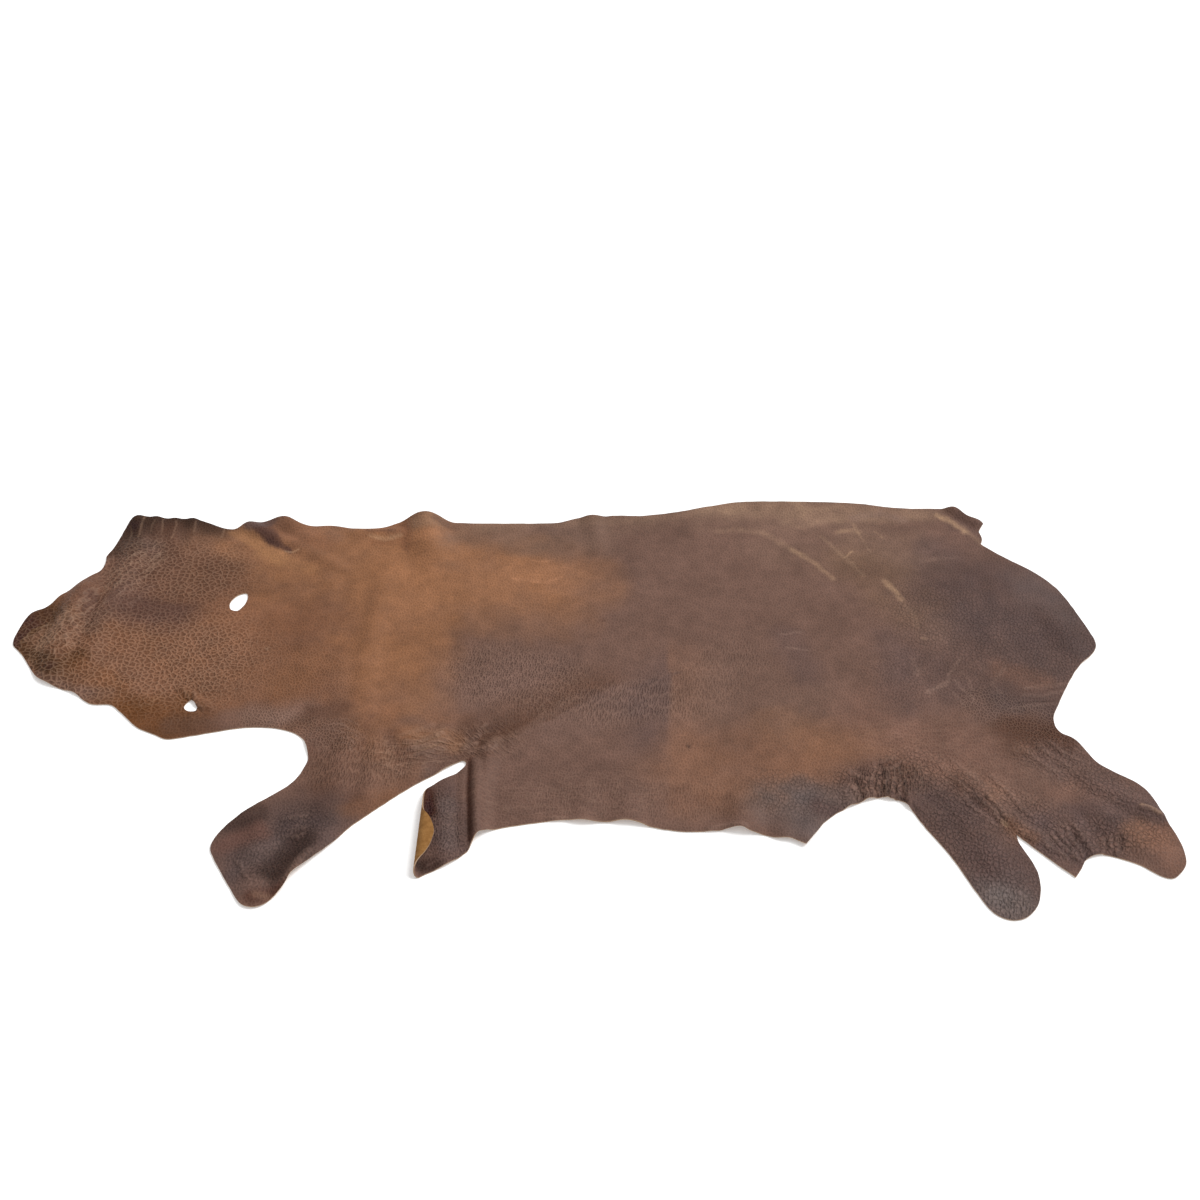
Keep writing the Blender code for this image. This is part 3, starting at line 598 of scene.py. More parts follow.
# %% The lattice, and what joins it to the edge
PITCH = 0.32
PLAIN_EVERY = 2
FLESH_EVERY = 4
CREASE_ROOM = 0.4
STREAK_ROOM = 0.5
ROLL_ROOM = 0.5
EDGE_ROOM = 0.28
LATTICE_SLANT = math.radians(60.0)
TINY = 1e-5


class Run(NamedTuple):
    """One straight run of a path."""

    x1: float
    y1: float
    x2: float
    y2: float


def path_distance(path, x, y):
    """How far a place is from a path of straight runs."""
    nearest = np.full_like(x, np.inf)
    for (x1, y1), (x2, y2) in zip(path, path[1:]):
        aside, past_end, _ = along_run(Run(x1, y1, x2, y2), x, y)
        nearest = np.minimum(nearest, np.hypot(aside, past_end))
    return nearest


def near_folds(folds, x, y):
    """Where the sheet bends sharply: in the roll, and on narrow folds."""
    near = past_roll(x, y) > -ROLL_ROOM
    for fold in folds:
        aside, past_end, _ = along_run(fold, x, y)
        near |= np.hypot(aside, past_end) < fold.breadth / 2.0 + CREASE_ROOM
    return near


def lively(x, y):
    """Where the grain side needs the lattice's finest points."""
    near = near_folds(CREASES + BRINKS, x, y)
    for streak in STREAKS:
        near |= path_distance(streak.path, x, y) < streak.breadth / 2.0 + STREAK_ROOM
    return near


def lattice(low, high):
    """Column and row numbers of a triangular lattice between two corners, and its places."""
    row_gap = PITCH * math.sin(LATTICE_SLANT)
    rows = int((high[1] - low[1]) / row_gap) + 1
    columns = int((high[0] - low[0]) / PITCH) + 1
    column, row = np.meshgrid(np.arange(-rows // 2, columns), np.arange(rows))
    x, y = low[0] + (column + row / 2.0) * PITCH, low[1] + row * row_gap
    inside = (x > low[0]) & (x < high[0])
    return column[inside], row[inside], x[inside], y[inside]


def clear_of_edge(points):
    """The points that are not crowded against the cut edge."""
    tree = KDTree(len(edge))
    for i, place in enumerate(edge):
        tree.insert((*place, 0.0), i)
    tree.balance()
    room = [tree.find((*point, 0.0))[2] for point in points]
    return points[np.array(room) > EDGE_ROOM]


def joined(inner):
    """Triangles between the cut edges and the inner points, and the inner points that they use.

    Both holes stay open, and points that lie off the leather are dropped.
    """
    rings, first = [], 0
    for loop in loops:
        rings.append(list(reversed(range(first, first + len(loop)))))
        first += len(loop)
    flat = [Vector(place) for place in np.vstack([edge, inner])]
    _, _, triangles, origins, _, owners = delaunay_2d_cdt(flat, [], rings, 1, TINY)
    triangles = [
        [origins[corner][0] for corner in triangle]
        for triangle, owner in zip(triangles, owners) if owner == [0]
    ]
    used, renumbered = np.unique(triangles, return_inverse=True)
    return renumbered.reshape(-1, 3), inner[used[len(edge):] - len(edge)]


column, row, lattice_x, lattice_y = lattice(edge.min(axis=0), edge.max(axis=0))
fine = lively(lattice_x, lattice_y)
steep = near_folds(CREASES + BRINKS, lattice_x, lattice_y)
plain = (column % PLAIN_EVERY == 0) & (row % PLAIN_EVERY == 0)
coarse = (column % FLESH_EVERY == 0) & (row % FLESH_EVERY == 0)
lattice_places = np.column_stack([lattice_x, lattice_y])
grain_triangles, grain_inner = joined(clear_of_edge(lattice_places[fine | plain]))
flesh_triangles, flesh_inner = joined(clear_of_edge(lattice_places[steep & plain | coarse]))
print(f"{len(grain_triangles)} triangles on the grain side, {len(flesh_triangles)} on the flesh side")

# %% [markdown]
# ## The closed sheet
#
# The grain side and the flesh side meet in a strip along the cut, which bulges a little, as
# compressed fibres do. All three are one mesh, so the piece has no gaps, and each has its own
# material. The flat pattern's places are kept as an attribute: the grain is drawn on the flat hide,
# so that it bends with the leather and goes round the roll with it.

# %% Grain side, flesh side and the strip between them
BULGE = 0.03
SHARP_ANGLE = math.radians(62.0)
GRAIN, FLESH, CUT = 0, 1, 2


def outward(loop, is_hole):
    """Directions that point out of the leather along a clockwise loop."""
    run = np.roll(loop, -1, axis=0) - np.roll(loop, 1, axis=0)
    left = np.column_stack([-run[:, 1], run[:, 0]]) / np.linalg.norm(run, axis=1)[:, None]
    return -left if is_hole else left


def strip(first, count, upper, lower, is_hole):
    """Quads between two copies of a loop, facing out of the leather."""
    here = first + np.arange(count)
    following = first + (np.arange(count) + 1) % count
    quads = np.column_stack([here + upper, following + upper, following + lower, here + lower])
    return quads[:, ::-1] if is_hole else quads


bulged = edge + BULGE * np.vstack([outward(loop, i > 0) for i, loop in enumerate(loops)])
grain_flat = np.vstack([edge, grain_inner])
flesh_flat = np.vstack([edge, flesh_inner])
grain_side = lay_down(*grain_flat.T, share=1.0)
flesh_edge = lay_down(*edge.T, share=0.0)
flesh_side = lay_down(*flesh_inner.T, share=0.0, crease_share=UNDER_CREASE)
cut_middle = lay_down(*bulged.T, share=0.5)
places = np.vstack([grain_side, flesh_edge, flesh_side, cut_middle])
flat_places = np.vstack([grain_flat, flesh_flat, bulged])

flesh_first = len(grain_side)
middle_first = flesh_first + len(flesh_flat)
faces = grain_triangles.tolist()
faces += (flesh_triangles[:, ::-1] + flesh_first).tolist()
finishes = [GRAIN] * len(grain_triangles) + [FLESH] * len(flesh_triangles)
loop_first = 0
for i, loop in enumerate(loops):
    for upper, lower in ((0, middle_first), (middle_first, flesh_first)):
        quads = strip(loop_first, len(loop), upper, lower, is_hole=i > 0)
        faces += quads.tolist()
        finishes += [CUT] * len(quads)
    loop_first += len(loop)

mesh = bpy.data.meshes.new("leather_side")
mesh.from_pydata(places, [], faces)
mesh.polygons.foreach_set("material_index", finishes)
mesh.shade_smooth()
mesh.set_sharp_from_angle(angle=SHARP_ANGLE)
side = bpy.data.objects.new("leather_side", mesh)
bpy.context.scene.collection.objects.link(side)
triangle_count = sum(len(face) - 2 for face in faces)
print(f"{triangle_count} triangles, {places[:, 2].max() * 1000:.0f} mm at its highest")

# %% [markdown]
# ## Tones
#
# A waxed hide is never one colour. Dye takes differently on the head, the neck and the loin, wax
# pools dark at the poll, and pales where the leather was stretched. Some stains and streaks are
# painted light instead: painted shade in folds, creases and inside the brisket roll, painted
# highlights on the tops of some ridges, and painted sheen along the far back edge. The tones below
# are written as they look in plain light, and `own_colour` takes the gloss off them and divides by
# the light, so that the material holds the leather's own colour, together with that painted light.
# Every stain is a soft band along a short line, with a border that wanders as dye does. A few stop
# at their line on one side, as where the hide lay folded.

# %% The palette
def rgb(red, green, blue):
    return np.array([red, green, blue]) / 255.0


TONES = {
    "walnut": rgb(116, 90, 80), "russet": rgb(130, 91, 70), "chestnut": rgb(122, 84, 64),
    "umber": rgb(101, 72, 60), "soot": rgb(62, 48, 42), "plum": rgb(86, 64, 60),
    "bark": rgb(68, 46, 30), "olive": rgb(104, 68, 45), "rust": rgb(135, 90, 62),
    "tan": rgb(149, 105, 77), "sandy tan": rgb(160, 116, 84), "orange": rgb(156, 111, 83),
    "amber": rgb(137, 100, 81), "rose": rgb(127, 96, 84), "slate": rgb(96, 78, 75),
    "iron": rgb(82, 70, 69), "ash": rgb(104, 92, 90), "pale ash": rgb(125, 115, 112),
    "pigeon": rgb(125, 100, 92), "dusk": rgb(102, 78, 68), "cocoa": rgb(98, 72, 61),
    "mauve": rgb(110, 86, 79), "dun": rgb(126, 100, 87), "sand": rgb(160, 130, 108),
    "straw": rgb(185, 150, 120), "sandy rose": rgb(145, 118, 106), "peach": rgb(178, 128, 98),
    "brick": rgb(116, 82, 72), "rust red": rgb(126, 93, 79), "ink": rgb(52, 42, 40),
    "oxblood": rgb(62, 38, 32), "mahogany": rgb(84, 58, 48), "moss": rgb(118, 92, 75),
}
BASE_TONE = "walnut"
GLOSS = 0.022
LIGHT = 1.07
DARKEST = 0.004


def own_colour(seen):
    """The leather's own colour, linear, for a tone as it is seen in this light.

    The first line is the standard curve between screen values and linear ones.
    """
    linear = np.where(seen <= 0.04045, seen / 12.92, ((seen + 0.055) / 1.055) ** 2.4)
    return np.maximum(linear - GLOSS, DARKEST) / LIGHT


print(f"{len(TONES)} tones")

# %% The stains
class Stain(NamedTuple):
    """A soft patch of tone along a line. Its border is softer where soft is near 1.

    With a side of 1 or -1 it shows only to the left or right of its line, as from a fold mark.
    """

    name: str
    x1: float
    y1: float
    x2: float
    y2: float
    breadth: float
    tone: str
    strength: float
    soft: float = 1.0
    side: int = 0


STAINS = table(
    Stain,
    ("head", -105.8, 9.4, -71.7, 10.6, 62.7, "chestnut", 0.9),
    ("neck", -66.6, 10.6, -47.3, 10.6, 58.0, "russet", 0.85),
    ("nape", -70.5, 39.5, -36.2, 39.5, 38.2, "tan", 0.82),
    ("shoulder", -36.5, 42.9, -37.1, 10.6, 25.2, "tan", 0.9),
    ("shoulder low", -38.3, 13.3, -38.5, -11.9, 14.5, "tan", 0.6),
    ("withers", -30.9, 40.8, -10.4, 34.4, 35.5, "tan", 0.9),
    ("back", -14.7, 36.1, -2.8, 35.4, 22.0, "orange", 0.55),
    ("back low", -20.5, 24.3, -1.7, 23.1, 19.1, "tan", 0.5),
    ("back end", 6.5, 36.0, 9.0, 28.0, 11.0, "tan", 0.45),
    ("foreleg", -37.8, -11.7, -31.1, -28.9, 17.7, "russet", 0.5),
    ("poll", -89.5, 37.8, -77.9, 33.8, 27.0, "umber", 0.82),
    ("temple", -90.5, 25.0, -82.5, 21.5, 13.0, "plum", 0.75),
    ("brow shade", -99.4, 27.0, -98.2, 20.0, 5.0, "plum", 0.5),
    ("brow light", -96.8, 16.5, -92.9, 34.0, 4.2, "pigeon", 0.28),
    ("poll edge 1", -97.0, 44.2, -94.5, 53.5, 10.0, "soot", 0.8),
    ("poll edge 2", -95.1, 55.0, -84.3, 54.5, 18.0, "soot", 1.0),
    ("poll edge 3", -83.2, 54.0, -75.4, 51.0, 9.0, "soot", 0.75),
    ("poll tongue", -87.6, 49.7, -84.5, 38.8, 7.0, "umber", 0.6),
    ("poll light", -91.3, 45.7, -89.0, 42.2, 4.2, "pigeon", 0.35),
    ("nose", -112.4, 13.7, -109.0, 21.5, 12.0, "bark", 0.95),
    ("nose low", -108.9, 9.1, -104.5, 5.0, 5.0, "bark", 0.8),
    ("nose valley", -103.0, 3.5, -98.5, 8.5, 6.0, "bark", 0.5),
    ("nose sheen", -106.2, 12.0, -103.5, 19.0, 4.6, "sand", 0.38),
    ("chin", -105.8, 2.6, -100.6, -0.2, 4.3, "pigeon", 0.55),
    ("jaw rust", -98.5, 6.0, -90.6, -0.1, 7.0, "rust", 0.45),
    ("jaw light", -98.1, -1.9, -91.3, -2.8, 4.6, "pigeon", 0.6),
    ("jaw", -87.4, -8.8, -76.4, -9.3, 13.4, "olive", 0.95),
    ("jaw far", -92.4, -3.3, -84.2, -4.8, 6.6, "olive", 0.4),
    ("cheek", -76.2, -10.5, -68.2, -11.9, 7.0, "dusk", 0.6),
    ("throat light", -64.5, -10.5, -53.0, -8.2, 9.7, "pigeon", 0.65),
    ("throat shade", -53.5, -12.0, -50.5, -8.4, 4.8, "cocoa", 0.6),
    ("throat shade 2", -50.5, -8.4, -44.5, -7.2, 6.5, "cocoa", 0.6),
    ("throat shade 3", -46.0, -10.0, -43.0, -11.5, 8.0, "dusk", 0.4),
    ("throat bloom", -62.0, -9.5, -54.5, -8.5, 6.0, "sandy rose", 0.28),
    ("forearm shade", -44.8, -15.8, -46.8, -26.9, 4.8, "cocoa", 0.5),
    ("forearm light", -49.0, -17.0, -47.0, -18.8, 5.0, "pigeon", 0.35),
    ("foreleg top", -41.5, -15.0, -39.5, -21.5, 6.0, "cocoa", 0.35),
    ("elbow shade", -33.0, -14.5, -31.0, -19.5, 4.4, "umber", 0.65),
    ("armpit tan", -25.0, -9.0, -20.5, -11.0, 7.0, "russet", 0.4),
    ("nape light", -73.0, 43.5, -64.0, 38.5, 9.0, "tan", 0.5),
    ("nape band", -71.0, 46.0, -64.8, 40.5, 10.5, "sandy tan", 0.9, 0.6, 1),
    ("nape band low", -66.0, 41.6, -55.0, 36.0, 4.6, "sandy tan", 0.65, 0.7),
    ("neck tan", -56.0, 36.0, -46.0, 33.0, 12.0, "tan", 0.4),
    ("crescent top", -69.5, 50.9, -67.0, 47.6, 8.2, "plum", 0.85, 0.25, 1),
    ("crescent middle", -67.5, 48.2, -64.8, 45.2, 5.4, "plum", 0.75, 0.25, 1),
    ("crescent grey", -68.8, 51.5, -65.9, 52.4, 4.2, "slate", 0.9, 0.4),
    ("crescent low", -65.0, 45.3, -60.9, 42.3, 2.8, "plum", 0.85, 0.3, 1),
    ("nape brown", -60.9, 49.7, -53.9, 44.8, 8.8, "chestnut", 0.5),
    ("crest shade", -38.0, 48.6, -34.0, 51.2, 5.8, "cocoa", 0.45),
    ("withers shade", -36.0, 51.0, -35.3, 43.5, 3.6, "chestnut", 0.6),
    # withers light is a painted highlight on the buckle's lit top, and withers peach partly one
    ("withers light", -32.9, 50.2, -29.5, 52.2, 5.6, "sand", 0.55),
    ("withers peach", -33.5, 46.8, -29.0, 46.5, 5.0, "peach", 0.32),
    ("withers dark", -29.0, 51.9, -25.2, 50.6, 3.0, "cocoa", 0.6),
    ("crest brown", -42.5, 45.4, -36.3, 45.4, 2.8, "chestnut", 0.45),
    ("neck glow", -48.0, 40.0, -41.0, 38.5, 12.0, "tan", 0.35),
    ("neck glow low", -58.0, 4.0, -50.0, 6.0, 14.0, "russet", 0.45),
    ("back glow", -24.0, 28.0, -15.0, 27.5, 10.0, "orange", 0.35),
    ("back pale", -3.0, 49.5, 4.0, 48.5, 8.0, "pigeon", 0.45),
    ("back dun", -21.0, 50.3, 3.4, 47.2, 16.0, "dun", 0.75),
    ("back light", -8.7, 49.5, -5.2, 49.5, 5.6, "pigeon", 0.35),
    ("back shade", -2.9, 42.2, 3.6, 40.5, 8.0, "dusk", 0.35),
    ("back notch", 3.1, 53.2, 5.3, 53.2, 2.4, "cocoa", 0.4),
    ("back dun 2", 5.7, 50.9, 19.8, 53.3, 9.8, "dun", 0.6),
    ("ribs grain", -15.0, 3.0, -7.0, 3.0, 22.0, "mauve", 0.5),
    ("shoulder edge", -26.5, 26.0, -28.5, -6.0, 12.0, "tan", 0.6),
    # armpit brown bands: painted shade on the armpit folds' lower slope
    ("armpit brown", -15.3, -17.9, -9.0, -10.5, 7.3, "cocoa", 0.7),
    ("armpit brown 2", -13.6, -17.2, 5.0, -3.6, 20.0, "cocoa", 0.8, 1.0, 1),
    ("brisket light", -2.0, -12.7, 11.5, -4.2, 10.5, "pigeon", 0.4),
    ("side shade", 19.6, -13.0, 20.2, 0.0, 20.0, "slate", 0.7, 1.0, 1),
    ("side shade 2", 6.6, -4.2, 14.5, -5.6, 8.0, "slate", 0.3),
    ("flank band", 25.5, -22.5, 44.5, -19.5, 24.0, "amber", 0.85),
    ("flank mark", 19.9, -27.0, 20.8, 5.0, 20.0, "amber", 0.35, 1.0, -1),
    ("flank band far", 42.5, -19.0, 62.0, -16.0, 17.0, "amber", 1.0),
    ("flank glow", 48.0, -19.0, 60.0, -16.5, 9.0, "tan", 0.3),
    ("flank glow far", 40.0, -11.0, 56.0, -13.0, 11.0, "tan", 0.3),
    ("flank band low", 28.0, -31.5, 39.0, -31.0, 12.0, "amber", 0.6),
    ("side light", 33.0, -4.0, 48.0, -7.0, 24.0, "dun", 0.3),
    ("groin light", 54.0, -19.0, 60.0, -19.5, 8.0, "amber", 0.4),
    ("flank grey", 44.5, -29.0, 51.0, -31.0, 9.0, "ash", 0.48),
    ("ham rust", 70.0, -24.5, 78.0, -31.5, 9.0, "rust red", 0.5),
    ("ham light", 74.0, -26.0, 79.0, -30.5, 8.0, "peach", 0.28),
    ("flank low shade", 22.0, -31.0, 34.0, -33.5, 6.0, "cocoa", 0.35),
    ("mid neck", -56.0, 0.5, -51.5, 8.0, 11.0, "tan", 0.3),
    ("thigh", 62.3, -10.5, 77.5, -19.9, 25.4, "rose", 1.0),
    ("loin dun", 28.7, 56.2, 64.1, 53.7, 13.9, "dun", 0.82),
    ("loin rose", 45.5, 44.6, 70.9, 41.5, 20.6, "dun", 0.4),
    ("croup dun", 64.0, 45.5, 76.0, 40.5, 16.0, "dun", 0.85),
    ("croup brown", 62.0, 38.0, 71.0, 24.0, 18.0, "moss", 0.55),
    # back rim: painted sheen along the far back edge
    ("back rim 1", -20.0, 51.0, 10.0, 53.6, 5.0, "sand", 0.3),
    ("back rim 2", 14.0, 54.0, 36.0, 57.8, 6.0, "sand", 0.35),
    ("back rim 3", 36.0, 57.8, 78.0, 55.5, 9.0, "sand", 0.55),
    ("croup", 69.9, 21.5, 74.8, 16.1, 11.4, "dun", 0.5),
    ("rump", 87.0, 27.0, 101.0, 18.0, 38.0, "slate", 0.9),
    ("rump low", 73.1, 4.1, 92.1, -2.3, 24.0, "slate", 0.6),
    ("rump iron", 84.4, 20.4, 98.0, 10.0, 22.0, "iron", 0.35),
    ("hip", 103.3, 26.3, 105.9, 11.0, 12.1, "iron", 0.25),
    ("hip blue", 97.8, 28.9, 105.7, 21.2, 12.7, "ash", 0.45),
    ("tail shade", 77.8, 43.9, 81.9, 42.2, 8.9, "slate", 0.5),
    ("tail tag", 86.2, 53.0, 89.5, 50.2, 8.0, "slate", 0.4),
    ("loin shade", 44.3, 15.2, 48.0, 4.0, 9.0, "slate", 0.5),
    ("loin shade 2", 65.5, 13.7, 65.9, -4.2, 10.7, "slate", 0.45),
    ("red patch", 87.5, 4.6, 94.0, 2.2, 7.4, "rust red", 0.62),
    ("notch shade", 86.5, -12.7, 95.2, -13.3, 9.0, "mahogany", 0.7),
    ("hip creases", 87.0, -4.5, 96.0, -5.5, 8.0, "iron", 0.45),
    ("notch shade 2", 83.8, -14.1, 87.9, -17.2, 7.8, "cocoa", 0.5),
    ("hock rust", 92.5, -13.5, 96.7, -16.6, 4.6, "mahogany", 0.6),
    ("hock rose", 89.7, -17.8, 93.7, -19.2, 6.9, "rose", 0.4),
    ("hock", 94.6, -20.9, 103.4, -25.0, 13.1, "slate", 0.5),
    ("gaskin", 93.1, -29.4, 98.9, -30.6, 8.7, "rose", 0.75),
    ("hind foot", 97.9, -35.5, 106.6, -37.1, 12.5, "slate", 0.9),
    ("hind foot top", 99.7, -29.2, 109.5, -31.8, 9.4, "slate", 0.6),
    ("foot tan", 105.8, -40.3, 109.6, -42.6, 8.0, "amber", 0.8),
    ("foot rust", 110.2, -41.2, 111.2, -47.7, 8.3, "rust red", 0.75),
    ("spur", 89.2, -41.2, 95.0, -44.7, 15.5, "slate", 1.0),
    ("cleft rust", 82.3, -38.2, 85.1, -41.0, 4.3, "rust", 0.35),
    ("cleft tan", 77.8, -40.8, 81.5, -41.1, 6.7, "rust", 0.2),
    ("groin", 59.0, -26.8, 65.0, -28.0, 11.5, "plum", 0.5),
    ("groin olive", 64.2, -24.2, 67.3, -28.4, 8.0, "cocoa", 0.4),
    ("shank", 70.1, -32.8, 78.8, -48.6, 17.7, "slate", 0.92),
    ("shank low", 76.4, -47.4, 79.7, -54.4, 17.8, "slate", 0.75),
    ("shank tip", 76.4, -56.1, 81.5, -59.2, 13.6, "ash", 0.85),
    ("shank bloom", 77.9, -55.3, 81.0, -57.6, 6.2, "pale ash", 0.55),
    ("flank tip", 43.0, -33.3, 52.4, -38.1, 17.4, "ash", 0.9),
    ("flank spot", 48.2, -33.4, 50.9, -34.6, 5.7, "plum", 0.5),
    ("foreleg light", -50.0, -17.2, -46.7, -15.8, 8.3, "pigeon", 0.25),
    ("foreleg brown", -47.0, -20.0, -42.5, -31.0, 14.0, "umber", 0.6),
    ("foreleg shade", -44.9, -16.2, -49.6, -31.5, 7.8, "dusk", 0.45),
    ("fore foot", -57.3, -46.1, -47.6, -39.0, 20.5, "iron", 0.85),
    ("fore foot black", -61.3, -37.4, -57.6, -35.5, 6.4, "ink", 0.55),
    ("fore foot rust", -62.7, -43.1, -56.3, -39.2, 4.9, "brick", 0.6),
    ("fore foot bloom", -57.5, -47.7, -53.9, -44.2, 7.4, "ash", 0.4),
    ("fore foot soot", -51.7, -50.3, -48.9, -42.8, 7.4, "ink", 0.75),
    ("fore foot rim", -55.6, -55.9, -50.1, -54.5, 3.9, "oxblood", 0.55),
    ("fore foot pale", -54.8, -55.2, -53.1, -55.5, 2.1, "sand", 0.35),
    ("fore edge rust", -39.6, -34.6, -33.5, -31.5, 6.4, "rust", 0.35),
    # flap: slate colour, partly painted shade where the flap tilts away from the light
    ("flap", -23.5, -28.2, -20.7, -45.3, 11.3, "slate", 0.8),
    # elbow light: tan, partly a painted highlight on the elbow ridges
    ("elbow light", -30.0, -14.2, -22.5, -16.0, 7.0, "tan", 0.65),
    # flap light: a painted highlight along the flap fold's crest
    ("flap light", -21.6, -32.6, -21.4, -42.5, 4.6, "ash", 0.45),
    # flap corner and flap inside: painted shadow inside the roll's curl
    ("flap corner", -26.3, -48.5, -24.2, -47.5, 4.6, "ink", 0.8),
    ("flap inside", -26.1, -29.4, -25.0, -34.6, 3.6, "oxblood", 1.0),
    # valley: painted shade in the valley beside the brisket brink
    ("valley", -18.3, -20.9, -17.2, -41.7, 1.5, "oxblood", 0.62),
    ("dot neck", -61.2, 11.2, -61.1, 11.1, 1.0, "sand", 0.7),
    ("dot croup", 72.9, 14.3, 72.9, 14.1, 1.0, "sand", 0.7),
    ("dot belly", 23.6, -17.1, 23.6, -17.3, 1.0, "ink", 0.6),
    ("dot back", 7.2, 19.9, 7.2, 19.7, 1.2, "cocoa", 0.6),
)
print(f"{len(STAINS)} stains")

# %% Stains and streaks, laid over one another on every point of the mesh
STAIN_WAVER = 2.2
WAVER_SHARE = 0.16
SWEEP = 7.0
RIPPLE = 2.6
RIPPLE_SHARE = 0.5
SOFT_SPREAD = 0.25
STAIN_PATCH = 3.4
STAIN_SURE, STAIN_PATCHY = 0.82, 0.18
MARK_WIDTH = 0.9
MARK_STILL = 0.3
STREAK_WAVER = 0.35
STREAK_WAVE = 1.6
STREAK_SPREAD = 1.3
STREAK_PATCH = 1.1
STREAK_SURE, STREAK_PATCHY = 0.72, 0.28
CLOUDS = ((17.0, 21, 0.035), (6.0, 22, 0.04), (2.2, 23, 0.035))
CREST_WEAR = 0.25
CREST_FULL = 0.3


def smooth(share):
    """A share between 0 and 1 that leaves both ends softly."""
    share = np.clip(share, 0.0, 1.0)
    return share * share * (3.0 - 2.0 * share)


def lay_over(colour, tone, weight):
    """Blend one tone over the colours, by a weight for each point."""
    return colour + (TONES[tone] - colour) * weight[:, None]


def drift(x, y, seed):
    """How the borders of the stains wander, in broad sweeps with small ripples on them."""
    return soft_noise(x, y, SWEEP, seed) + RIPPLE_SHARE * soft_noise(x, y, RIPPLE, seed + 1)


def seen_colour(x, y):
    """The colour of each place as it is seen, before the gloss is taken off."""
    colour = np.tile(TONES[BASE_TONE], (len(x), 1))
    drift_x, drift_y = drift(x, y, seed=31), drift(x, y, seed=33)
    uneven = STAIN_SURE + STAIN_PATCHY * soft_noise(x, y, STAIN_PATCH, seed=38)
    for stain in STAINS:
        reach = min(STAIN_WAVER, WAVER_SHARE * stain.breadth)
        reach *= MARK_STILL if stain.side else 1.0
        aside, past_end, _ = along_run(stain, x + reach * drift_x, y + reach * drift_y)
        full = stain.breadth / 2.0 * (1.0 + SOFT_SPREAD * stain.soft)
        inside = (1.0 - np.hypot(aside, past_end) / full) * full / (stain.breadth / 2.0)
        weight = stain.strength * uneven * smooth(inside / stain.soft)
        if stain.side:
            weight *= smooth(0.5 + stain.side * aside / MARK_WIDTH)
        colour = lay_over(colour, stain.tone, weight)
    wobble_x = x + STREAK_WAVER * soft_noise(x, y, STREAK_WAVE, seed=35)
    wobble_y = y + STREAK_WAVER * soft_noise(x, y, STREAK_WAVE, seed=36)
    patchy = STREAK_SURE + STREAK_PATCHY * soft_noise(x, y, STREAK_PATCH, seed=37)
    for streak in STREAKS:
        reach = STREAK_SPREAD * streak.breadth / 2.0
        inside = 1.0 - path_distance(streak.path, wobble_x, wobble_y) / reach
        colour = lay_over(colour, streak.tone, streak.strength * patchy * smooth(inside))
    return colour


def worn_colour(x, y):
    """Clouds of lighter and darker wax, and crease crests rubbed pale."""
    colour = seen_colour(x, y)
    cloud = sum(share * soft_noise(x, y, size, seed) for size, seed, share in CLOUDS)
    worn = CREST_WEAR * smooth(crease_height(x, y) / CREST_FULL)
    return lay_over(colour * (1.0 + cloud)[:, None], "sandy rose", worn)


def keep(name, kind, field, values):
    """Store one value, vector or colour for each point of the mesh."""
    layer = mesh.attributes.new(name, kind, "POINT")
    layer.data.foreach_set(field, np.asarray(values, dtype=np.float32).ravel())


own = own_colour(worn_colour(*flat_places.T))
keep("tint", "FLOAT_COLOR", "color", np.column_stack([own, np.ones(len(own))]))
keep("flat_place", "FLOAT_VECTOR", "vector", np.column_stack([flat_places * CM, np.zeros(len(own))]))
print("mean colour of the leather:", own.mean(axis=0).round(3).tolist())

# %% [markdown]
# ## Where the grain runs
#
# Bison grain is coarse. On the head and poll it cracks into large rounded cells, with a lean over
# the muzzle. The neck has a small pebble, and so has the whole hide, only weaker. Behind the shoulder
# and on the side it stretches into upright furrows; over the brisket and thigh it runs along the
# body; on the hocks it slants with the limb; and the feet, the flank and the rump have a crackle of
# dark lines. Each row says where one kind shows, and how strongly. The weight of each kind goes to
# the material as an attribute.

# %% Kinds of grain
class Grain(NamedTuple):
    """Where a kind of grain shows: a soft band along a line."""

    name: str
    x1: float
    y1: float
    x2: float
    y2: float
    breadth: float
    kind: str
    strength: float


